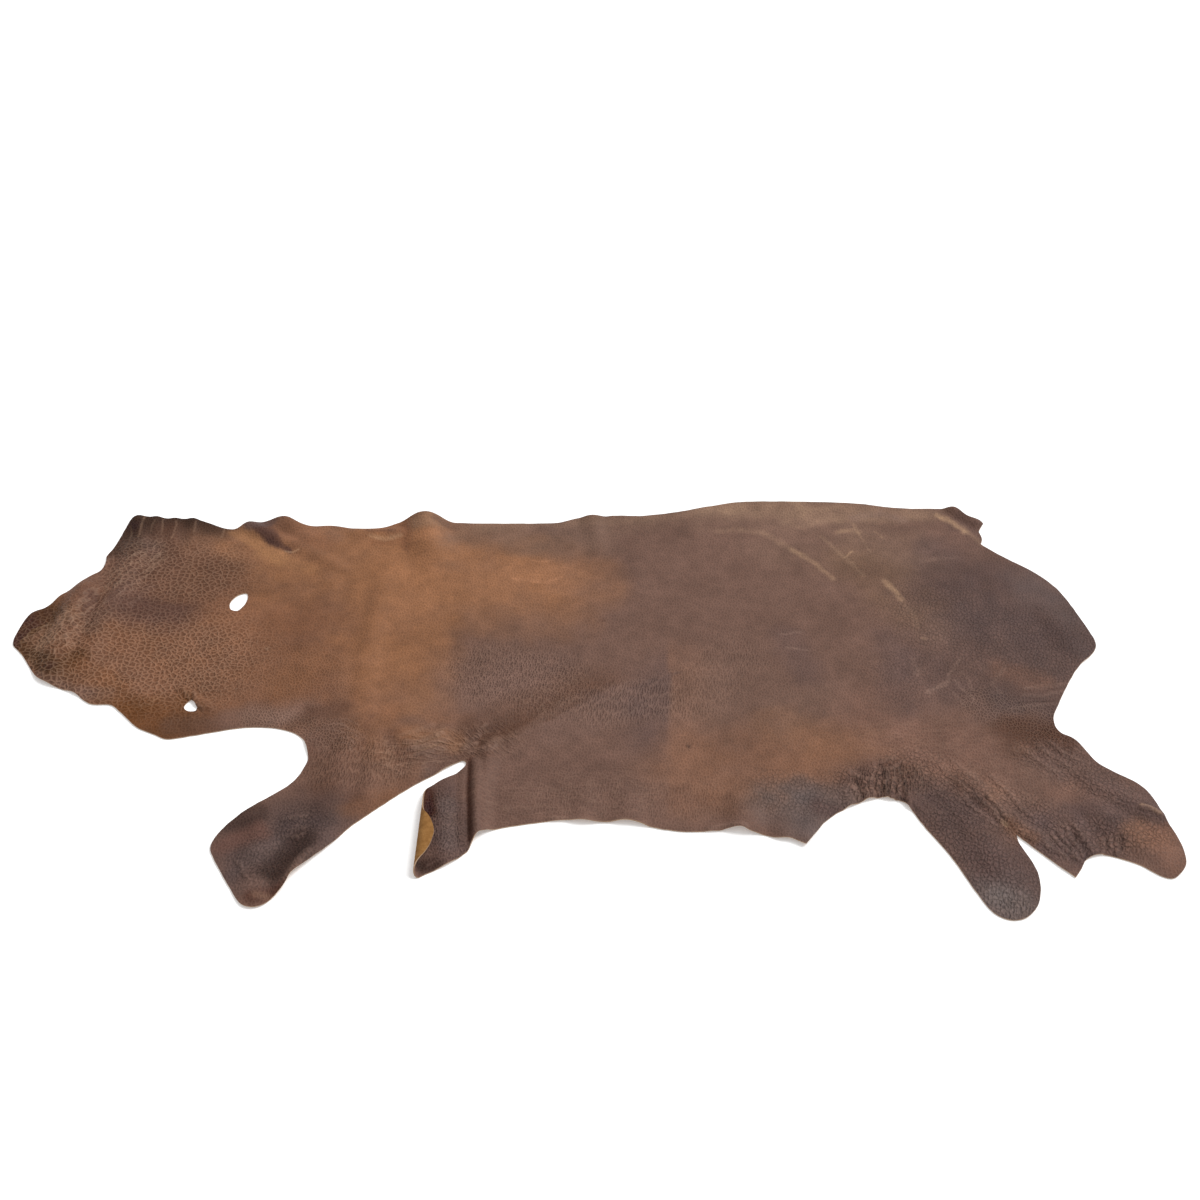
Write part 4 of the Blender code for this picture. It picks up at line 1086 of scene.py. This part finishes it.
GRAINS = table(
    Grain,
    ("muzzle", -105.0, 10.0, -98.0, 26.0, 12.0, "lean", 1.0),
    ("brow", -97.0, 28.0, -90.0, 42.0, 13.0, "lean", 1.05),
    ("head", -100.7, 8.8, -78.0, 8.1, 47.6, "cracked", 1.0),
    ("neck", -72.3, 6.6, -53.0, 1.3, 40.7, "pebble", 1.0),
    ("poll", -89.2, 36.1, -78.3, 34.4, 32.2, "cracked", 0.9),
    ("throat", -60.0, -9.0, -43.0, -15.0, 13.0, "pebble", 1.5),
    ("ribs", -15.0, 3.0, -4.0, 0.0, 31.0, "upright", 0.75),
    ("ribs pebble", -15.0, 3.0, -4.0, 0.0, 31.0, "pebble", 1.1),
    ("side", 6.6, -5.6, 17.5, -3.8, 20.0, "upright", 0.8),
    ("side far", 24.4, -4.2, 32.9, 7.6, 22.9, "upright", 0.45),
    ("belly", -0.9, -31.5, 36.6, -31.7, 15.5, "upright", 0.35),
    ("flank", 40.3, -29.9, 54.3, -31.1, 19.2, "crackle", 0.6),
    ("groin", 57.5, -28.1, 64.3, -26.3, 14.1, "upright", 0.9),
    ("rump", 76.9, 19.9, 100.0, 10.4, 37.7, "crackle", 0.5),
    ("rump low", 82.0, -5.2, 95.0, -12.0, 16.0, "pebble", 1.5),
    ("brisket", -15.7, -32.9, 10.4, -29.2, 20.7, "along", 0.5),
    ("thigh", 64.6, -15.5, 83.1, -20.9, 27.7, "along", 0.45),
    ("ham", 72.5, -28.9, 87.7, -39.3, 23.3, "slant", 0.6),
    ("ham cracks", 66.0, -24.0, 88.0, -38.0, 20.0, "crackle", 0.7),
    ("hock cracks", 92.0, -18.0, 103.0, -30.0, 16.0, "crackle", 0.65),
    ("groin cracks", 54.0, -27.0, 66.0, -26.0, 12.0, "crackle", 0.85),
    ("croup cracks", 66.0, 2.0, 82.0, 6.0, 26.0, "crackle", 0.35),
    ("hock", 91.0, -19.7, 102.3, -29.8, 18.2, "slant", 0.5),
    ("foot", 91.0, -41.6, 105.9, -39.8, 16.5, "crackle", 0.8),
    ("shank", 71.0, -38.0, 79.7, -54.4, 19.3, "crackle", 0.75),
    ("shank tip", 76.0, -56.1, 80.9, -58.8, 13.5, "upright", 0.6),
    ("foreleg", -42.9, -22.3, -35.4, -21.5, 21.0, "upright", 0.8),
    ("fore foot", -54.9, -47.5, -48.7, -39.1, 20.0, "crackle", 0.6),
    ("flap", -23.3, -32.2, -19.8, -44.4, 10.9, "crackle", 0.55),
    ("flap pebble", -23.3, -32.2, -19.8, -44.4, 10.9, "pebble", 1.0),
    ("elbow", -31.8, -19.6, -24.2, -17.5, 16.3, "along", 1.3),
    ("armpit", -19.4, -16.9, -12.7, -15.9, 13.7, "slant", 1.0),
)
GRAIN_KINDS = ("cracked", "pebble", "upright", "along", "slant", "lean", "crackle")
GRAIN_SOFT = 0.7
PLAIN_GRAIN = 0.6
SHOWS = 0.3


def grain_weight(kind, x, y):
    """How strongly one kind of grain shows at each place."""
    weight = np.zeros_like(x)
    for row in GRAINS:
        if row.kind != kind:
            continue
        aside, past_end, _ = along_run(row, x, y)
        inside = 1.0 - np.hypot(aside, past_end) / (row.breadth / 2.0)
        weight = np.maximum(weight, row.strength * smooth(inside / GRAIN_SOFT))
    return weight


for kind in GRAIN_KINDS:
    weight = grain_weight(kind, *flat_places.T)
    weight = np.maximum(weight, PLAIN_GRAIN) if kind == "pebble" else weight
    keep(kind, "FLOAT", "value", weight)
    print(f"{kind} grain on {np.mean(weight > SHOWS):.0%} of the points")

# %% [markdown]
# ## Effects that the finishes share
#
# Four effects are node groups: pitted grain and drawn grain, whose outputs are the height of the
# relief and the thin line along its top; clouds of wax; and loose fibre for the flesh side and the
# cut edge. They work on the flat hide's places in metres, so every size given to them is a real one.

# %% Helpers for nodes
def add_node(tree, kind, sockets=None, **settings):
    """Add a shader node, set it, and fill or link its sockets."""
    made = tree.nodes.new("ShaderNode" + kind)
    for name, value in settings.items():
        setattr(made, name, value)
    for name, value in (sockets or {}).items():
        if isinstance(value, bpy.types.NodeSocket):
            tree.links.new(value, made.inputs[name])
        else:
            made.inputs[name].default_value = value
    return made


def calculate(tree, operation, first, second=0.0):
    return add_node(tree, "Math", {0: first, 1: second}, operation=operation).outputs[0]


def vector_math(tree, operation, sockets):
    return add_node(tree, "VectorMath", sockets, operation=operation).outputs[0]


def between(tree, value, low, high, to_low=0.0, to_high=1.0):
    """Map a value softly from one range to another."""
    sockets = {"Value": value, "From Min": low, "From Max": high, "To Min": to_low, "To Max": to_high}
    return add_node(tree, "MapRange", sockets, interpolation_type="SMOOTHSTEP").outputs["Result"]


def blend(tree, share, first, second):
    """A colour between two, by a share of the second."""
    sockets = {"Factor": share, "A": first, "B": second}
    return add_node(tree, "Mix", sockets, data_type="RGBA").outputs["Result"]


def new_group(name, inputs, outputs):
    """A node group with named sockets. Each input has a kind and a default."""
    group = bpy.data.node_groups.new(name, "ShaderNodeTree")
    for socket, (kind, default) in inputs.items():
        made = group.interface.new_socket(socket, in_out="INPUT", socket_type="NodeSocket" + kind)
        if default is not None:
            made.default_value = default
    for socket in outputs:
        group.interface.new_socket(socket, in_out="OUTPUT", socket_type="NodeSocketFloat")
    given = group.nodes.new("NodeGroupInput").outputs
    wanted = group.nodes.new("NodeGroupOutput").inputs
    return group, given, wanted


def use_group(tree, group, sockets):
    return add_node(tree, "Group", sockets, node_tree=group).outputs


# %% A place bent, turned and measured by the size of the grain
GRAIN_SOCKETS = {
    "Place": ("Vector", None), "Turn": ("Float", 0.0), "Across": ("Float", 0.01),
    "Along": ("Float", 0.01), "Waver": ("Float", 0.01),
}
BEND_DETAIL = 2.0
NOISE_MIDDLE = 0.5


def grain_group(name, bend_scale):
    """An empty grain group, the place in it counted in grains, and the sockets to fill."""
    group, given, wanted = new_group(name, GRAIN_SOCKETS, ("Height", "Line"))
    sockets = {"Vector": given["Place"], "Scale": bend_scale, "Detail": BEND_DETAIL}
    bend = add_node(group, "TexNoise", sockets)
    centred = vector_math(group, "SUBTRACT", {0: bend.outputs["Color"], 1: (NOISE_MIDDLE,) * 3})
    shift = vector_math(group, "SCALE", {0: centred, "Scale": given["Waver"]})
    bent = vector_math(group, "ADD", {0: given["Place"], 1: shift})
    sockets = {"Vector": bent, "Angle": given["Turn"]}
    turned = add_node(group, "VectorRotate", sockets, rotation_type="Z_AXIS").outputs[0]
    size = add_node(group, "CombineXYZ", {"X": given["Across"], "Y": given["Along"], "Z": 1.0}).outputs[0]
    return group, vector_math(group, "DIVIDE", {0: turned, 1: size}), wanted


def raise_lines(group, wanted, distance, height_ends, line_ends):
    """Fill the group's outputs, each 1 at its first distance from a line and 0 at its second."""
    group.links.new(between(group, distance, *height_ends, 1.0, 0.0), wanted["Height"])
    group.links.new(between(group, distance, *line_ends, 1.0, 0.0), wanted["Line"])


print("inputs of a grain:", list(GRAIN_SOCKETS))

# %% Pitted grain
def pitted_grain(bend_scale=70.0, height_ends=(0.02, 0.34), line_ends=(0.03, 0.20)):
    """Thin raised lines around shallow pits, round or drawn out along one direction."""
    group, place, wanted = grain_group("pitted grain", bend_scale)
    pits = add_node(
        group, "TexVoronoi", {"Vector": place, "Scale": 1.0, "Randomness": 1.0},
        voronoi_dimensions="2D", feature="DISTANCE_TO_EDGE",
    )
    raise_lines(group, wanted, pits.outputs["Distance"], height_ends, line_ends)
    return group


PITTED = pitted_grain()
print("made", PITTED.name)

# %% Drawn grain
def drawn_grain(bend_scale=45.0, height_ends=(0.0, 0.13), line_ends=(0.01, 0.07)):
    """Long wavy ridges, as where the skin was stretched one way."""
    group, place, wanted = grain_group("drawn grain", bend_scale)
    sockets = {"Vector": place, "Scale": 0.62, "Detail": 1.5, "Roughness": 0.45}
    swell = add_node(group, "TexNoise", sockets, noise_dimensions="2D").outputs["Fac"]
    off_ridge = calculate(group, "ABSOLUTE", calculate(group, "SUBTRACT", swell, NOISE_MIDDLE))
    raise_lines(group, wanted, off_ridge, height_ends, line_ends)
    return group


DRAWN = drawn_grain()
print("made", DRAWN.name)

# %% Clouds of wax
def wax_clouds():
    """Cloudy mottling between 0 and 1."""
    group, given, wanted = new_group(
        "wax clouds",
        {"Place": ("Vector", None), "Size": ("Float", 0.02), "Contrast": ("Float", 0.25)},
        ("Mask",),
    )
    scale = calculate(group, "DIVIDE", 1.0, given["Size"])
    sockets = {"Vector": given["Place"], "Scale": scale, "Detail": 5.0, "Roughness": 0.6}
    noise = add_node(group, "TexNoise", sockets)
    low = calculate(group, "SUBTRACT", NOISE_MIDDLE, given["Contrast"])
    high = calculate(group, "ADD", NOISE_MIDDLE, given["Contrast"])
    group.links.new(between(group, noise.outputs["Fac"], low, high), wanted["Mask"])
    return group


CLOUDY = wax_clouds()
print("made", CLOUDY.name)

# %% Fibre
def loose_fibre():
    """Short matted fibres, as on the flesh side and in the cut."""
    inputs = {"Place": ("Vector", None), "Size": ("Float", 0.0015)}
    group, given, wanted = new_group("loose fibre", inputs, ("Height",))
    scale = calculate(group, "DIVIDE", 1.0, given["Size"])
    sockets = {"Vector": given["Place"], "Scale": scale, "Detail": 4.0, "Roughness": 0.7, "Distortion": 1.2}
    swirl = add_node(group, "TexNoise", sockets)
    group.links.new(swirl.outputs["Fac"], wanted["Height"])
    return group


FIBRE = loose_fibre()
print("made", FIBRE.name)

# %% [markdown]
# ## The waxed grain side
#
# The tint comes from the stains. The raised lines of the grain are painted a touch paler, partly as
# rubbed wax and partly as a painted highlight, its pits are painted darker as shade, and wax clouds
# vary the whole. The relief is a height in metres: lines of each kind where that kind shows, and a
# fine pore everywhere. The crackle has the opposite sign, because its lines are cut in and painted
# dark as shade. Waxed leather has a low broad gloss, which varies with the small clouds.

# %% Waxed grain
class Kind(NamedTuple):
    """One kind of grain: its lean in degrees, its sizes in metres, and how strong its painted highlight and
    shade are.
    """

    name: str
    turn: float
    across: float
    along: float
    waver: float
    depth: float
    line_wear_and_highlight: float
    shading: float
    drawn: bool = False


KINDS = table(
    Kind,
    ("cracked", 0.0, 0.0115, 0.0112, 0.008, 0.0013, 0.2, 0.4),
    ("pebble", 10.0, 0.0062, 0.0084, 0.006, 0.00075, 0.08, 0.16),
    ("upright", 8.0, 0.0056, 0.03, 0.007, 0.0012, 0.1, 0.26),
    ("along", 90.0, 0.008, 0.03, 0.01, 0.0008, 0.1, 0.14, True),
    ("slant", -50.0, 0.006, 0.028, 0.012, 0.00095, 0.08, 0.22, True),
    ("lean", 32.0, 0.009, 0.045, 0.012, 0.001, 0.16, 0.2, True),
    # crackle: its negative shading paints its cut lines dark, as shade
    ("crackle", 20.0, 0.0085, 0.011, 0.012, -0.0011, 0.0, -0.58),
)
# colour of the grain's raised lines: rubbed wax and a painted highlight
RUBBED_AND_HIGHLIT = (0.34, 0.235, 0.165, 1.0)
PORE_DEPTH = 0.0001
PORE_SCALE = 480.0
PORE_DETAIL = 3.0
LEVEL_HEIGHT = 0.45


def attribute(tree, name):
    return add_node(tree, "Attribute", attribute_name=name).outputs


def new_material(name):
    material = bpy.data.materials.new(name)
    material.use_nodes = True
    return material, material.node_tree, material.node_tree.nodes["Principled BSDF"]


def wax_mask(tree, place, size, contrast):
    return use_group(tree, CLOUDY, {"Place": place, "Size": size, "Contrast": contrast})["Mask"]


def dress(tree, shader, colour, height, specular=None):
    """Give a material its colour, and its relief in metres."""
    bump = add_node(tree, "Bump", {"Height": height, "Distance": 1.0, "Strength": 1.0})
    tree.links.new(colour, shader.inputs["Base Color"])
    tree.links.new(bump.outputs["Normal"], shader.inputs["Normal"])
    if specular is not None:
        shader.inputs["Specular IOR Level"].default_value = specular


def grain_relief(tree, place):
    """The height of the grain in metres, how much its lines pale as wear and painted highlight, and how dark
    its pits are painted as shade.
    """
    pores = add_node(tree, "TexNoise", {"Vector": place, "Scale": PORE_SCALE, "Detail": PORE_DETAIL})
    height = calculate(tree, "MULTIPLY", pores.outputs["Fac"], PORE_DEPTH)
    line_wear_and_highlight, depth_shade = 0.0, 1.0
    for kind in KINDS:
        sizes = {
            "Place": place, "Turn": math.radians(kind.turn), "Across": kind.across,
            "Along": kind.along, "Waver": kind.waver,
        }
        grain = use_group(tree, DRAWN if kind.drawn else PITTED, sizes)
        weight = attribute(tree, kind.name)["Fac"]
        raised = calculate(tree, "MULTIPLY", grain["Height"], calculate(tree, "MULTIPLY", weight, kind.depth))
        height = calculate(tree, "ADD", height, raised)
        # paler lines: rubbed wax and a painted highlight
        line = calculate(tree, "MULTIPLY", grain["Line"], calculate(tree, "MULTIPLY", weight, kind.line_wear_and_highlight))
        line_wear_and_highlight = calculate(tree, "ADD", line, line_wear_and_highlight)
        # painted shade: pits darker and ridge tops lighter, by each kind's shading
        level = calculate(tree, "SUBTRACT", grain["Height"], LEVEL_HEIGHT)
        level = calculate(tree, "MULTIPLY", level, calculate(tree, "MULTIPLY", weight, kind.shading))
        depth_shade = calculate(tree, "ADD", level, depth_shade)
    return height, line_wear_and_highlight, depth_shade


def waxed_grain(broad_tones=(0.92, 1.06), fine_tones=(0.88, 1.10), gloss=(0.58, 0.72)):
    """Tinted and waxed. Each pair is what the clouds make of a value where they are 0 and 1."""
    material, tree, shader = new_material("waxed grain")
    place = attribute(tree, "flat_place")["Vector"]
    height, line_wear_and_highlight, depth_shade = grain_relief(tree, place)
    broad = wax_mask(tree, place, size=0.03, contrast=0.22)
    fine = wax_mask(tree, place, size=0.006, contrast=0.25)
    shade = between(tree, broad, 0.0, 1.0, *broad_tones)
    shade = calculate(tree, "MULTIPLY", shade, between(tree, fine, 0.0, 1.0, *fine_tones))
    # the painted pit shade darkens the tint here
    shade = calculate(tree, "MULTIPLY", shade, depth_shade)
    waxed = vector_math(tree, "SCALE", {0: attribute(tree, "tint")["Color"], "Scale": shade})
    tree.links.new(between(tree, fine, 0.0, 1.0, *gloss), shader.inputs["Roughness"])
    dress(tree, shader, blend(tree, line_wear_and_highlight, waxed, RUBBED_AND_HIGHLIT), height, specular=0.15)
    return material


side.data.materials.append(waxed_grain())
print("made", side.data.materials[GRAIN].name)

# %% [markdown]
# ## The flesh side and the cut
#
# The flesh side is buffed to a short nap, paler and quite matt. The cut shows the leather's core:
# raw fibre, lighter than the grain, rubbed darker where it has been handled.

# %% Flesh side
NAP_DEEP, NAP_TIP = (0.18, 0.078, 0.018, 1.0), (0.48, 0.25, 0.085, 1.0)
NAP_DEPTH = 0.0006


def flesh_suede():
    material, tree, shader = new_material("flesh side")
    place = attribute(tree, "flat_place")["Vector"]
    nap = use_group(tree, FIBRE, {"Place": place, "Size": 0.0035})["Height"]
    patches = wax_mask(tree, place, size=0.012, contrast=0.4)
    colour = blend(tree, calculate(tree, "MULTIPLY", patches, nap), NAP_DEEP, NAP_TIP)
    dress(tree, shader, colour, calculate(tree, "MULTIPLY", nap, NAP_DEPTH), specular=0.2)
    shader.inputs["Roughness"].default_value = 0.92
    return material


side.data.materials.append(flesh_suede())
print("made", side.data.materials[FLESH].name)

# %% The cut edge
CUT_DEEP, CUT_TIP = (0.26, 0.16, 0.10, 1.0), (0.56, 0.38, 0.24, 1.0)
CUT_DEPTH = 0.0005
CUT_RUBBED = 0.4


def cut_edge():
    material, tree, shader = new_material("cut edge")
    place = attribute(tree, "flat_place")["Vector"]
    fibre = use_group(tree, FIBRE, {"Place": place, "Size": 0.003})["Height"]
    rubbed = calculate(tree, "MULTIPLY", wax_mask(tree, place, size=0.05, contrast=0.2), CUT_RUBBED)
    raw = blend(tree, fibre, CUT_DEEP, CUT_TIP)
    worn = blend(tree, rubbed, raw, attribute(tree, "tint")["Color"])
    dress(tree, shader, worn, calculate(tree, "MULTIPLY", fibre, CUT_DEPTH))
    shader.inputs["Roughness"].default_value = 0.8
    return material


side.data.materials.append(cut_edge())
print("made", side.data.materials[CUT].name)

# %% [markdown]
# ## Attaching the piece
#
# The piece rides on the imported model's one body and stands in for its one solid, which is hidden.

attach(side, "root")
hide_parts("hide")

# %% [markdown]
# ## Studio
#
# A white floor that glows faintly, one large soft light from behind on the right, as in the picture,
# and an even white sky for the rest. The camera is where the photographer stood.

# %% Floor, lights, world and camera
FLOOR_DROP = 0.0005
FLOOR_HALF = 12.0
WHITE = (1.0, 1.0, 1.0, 1.0)
PAPER_WHITE = (0.93, 0.93, 0.93, 1.0)
PAPER_ROUGHNESS = 0.9
PAPER_GLOW = 0.25
SKY_STRENGTH = 0.55
KEY_FROM = (1.0, 0.6, 1.2)
KEY_STRENGTH = 2.6
KEY_SPREAD = 35.0
CAMERA_PLACE = (0.06605, -2.93623, 2.72799)
CAMERA_TILT = 49.565
LENS_MM = 60.27
SENSOR_MM = 36.0


def far_light(name, comes_from, strength, spread):
    """A large soft light, far enough away to light both ends of the hide alike."""
    light = bpy.data.lights.new(name, "SUN")
    light.angle = math.radians(spread)
    light.energy = strength
    lamp = bpy.data.objects.new(name, light)
    lamp.rotation_euler = Vector(comes_from).to_track_quat("Z", "Y").to_euler()
    bpy.context.scene.collection.objects.link(lamp)


floor_mesh = bpy.data.meshes.new("floor")
shape = bmesh.new()
bmesh.ops.create_grid(shape, x_segments=1, y_segments=1, size=FLOOR_HALF)
shape.to_mesh(floor_mesh)
shape.free()
floor = bpy.data.objects.new("floor", floor_mesh)
floor.location.z = -FLOOR_DROP
bpy.context.scene.collection.objects.link(floor)
paper, _, paper_shader = new_material("white paper")
paper_shader.inputs["Base Color"].default_value = PAPER_WHITE
paper_shader.inputs["Roughness"].default_value = PAPER_ROUGHNESS
paper_shader.inputs["Emission Color"].default_value = WHITE
paper_shader.inputs["Emission Strength"].default_value = PAPER_GLOW
floor_mesh.materials.append(paper)

world = bpy.data.worlds.new("studio")
world.use_nodes = True
sky = world.node_tree.nodes["Background"]
sky.inputs["Color"].default_value = WHITE
sky.inputs["Strength"].default_value = SKY_STRENGTH
bpy.context.scene.world = world
far_light("key light", KEY_FROM, KEY_STRENGTH, KEY_SPREAD)

lens = bpy.data.cameras.new("camera")
lens.lens = LENS_MM
lens.sensor_width = SENSOR_MM
camera = bpy.data.objects.new("camera", lens)
camera.location = CAMERA_PLACE
camera.rotation_euler = (math.radians(CAMERA_TILT), 0.0, 0.0)
bpy.context.scene.collection.objects.link(camera)
bpy.context.scene.camera = camera
bpy.context.scene.view_settings.view_transform = "Standard"
print("camera at", [round(value, 3) for value in camera.location])
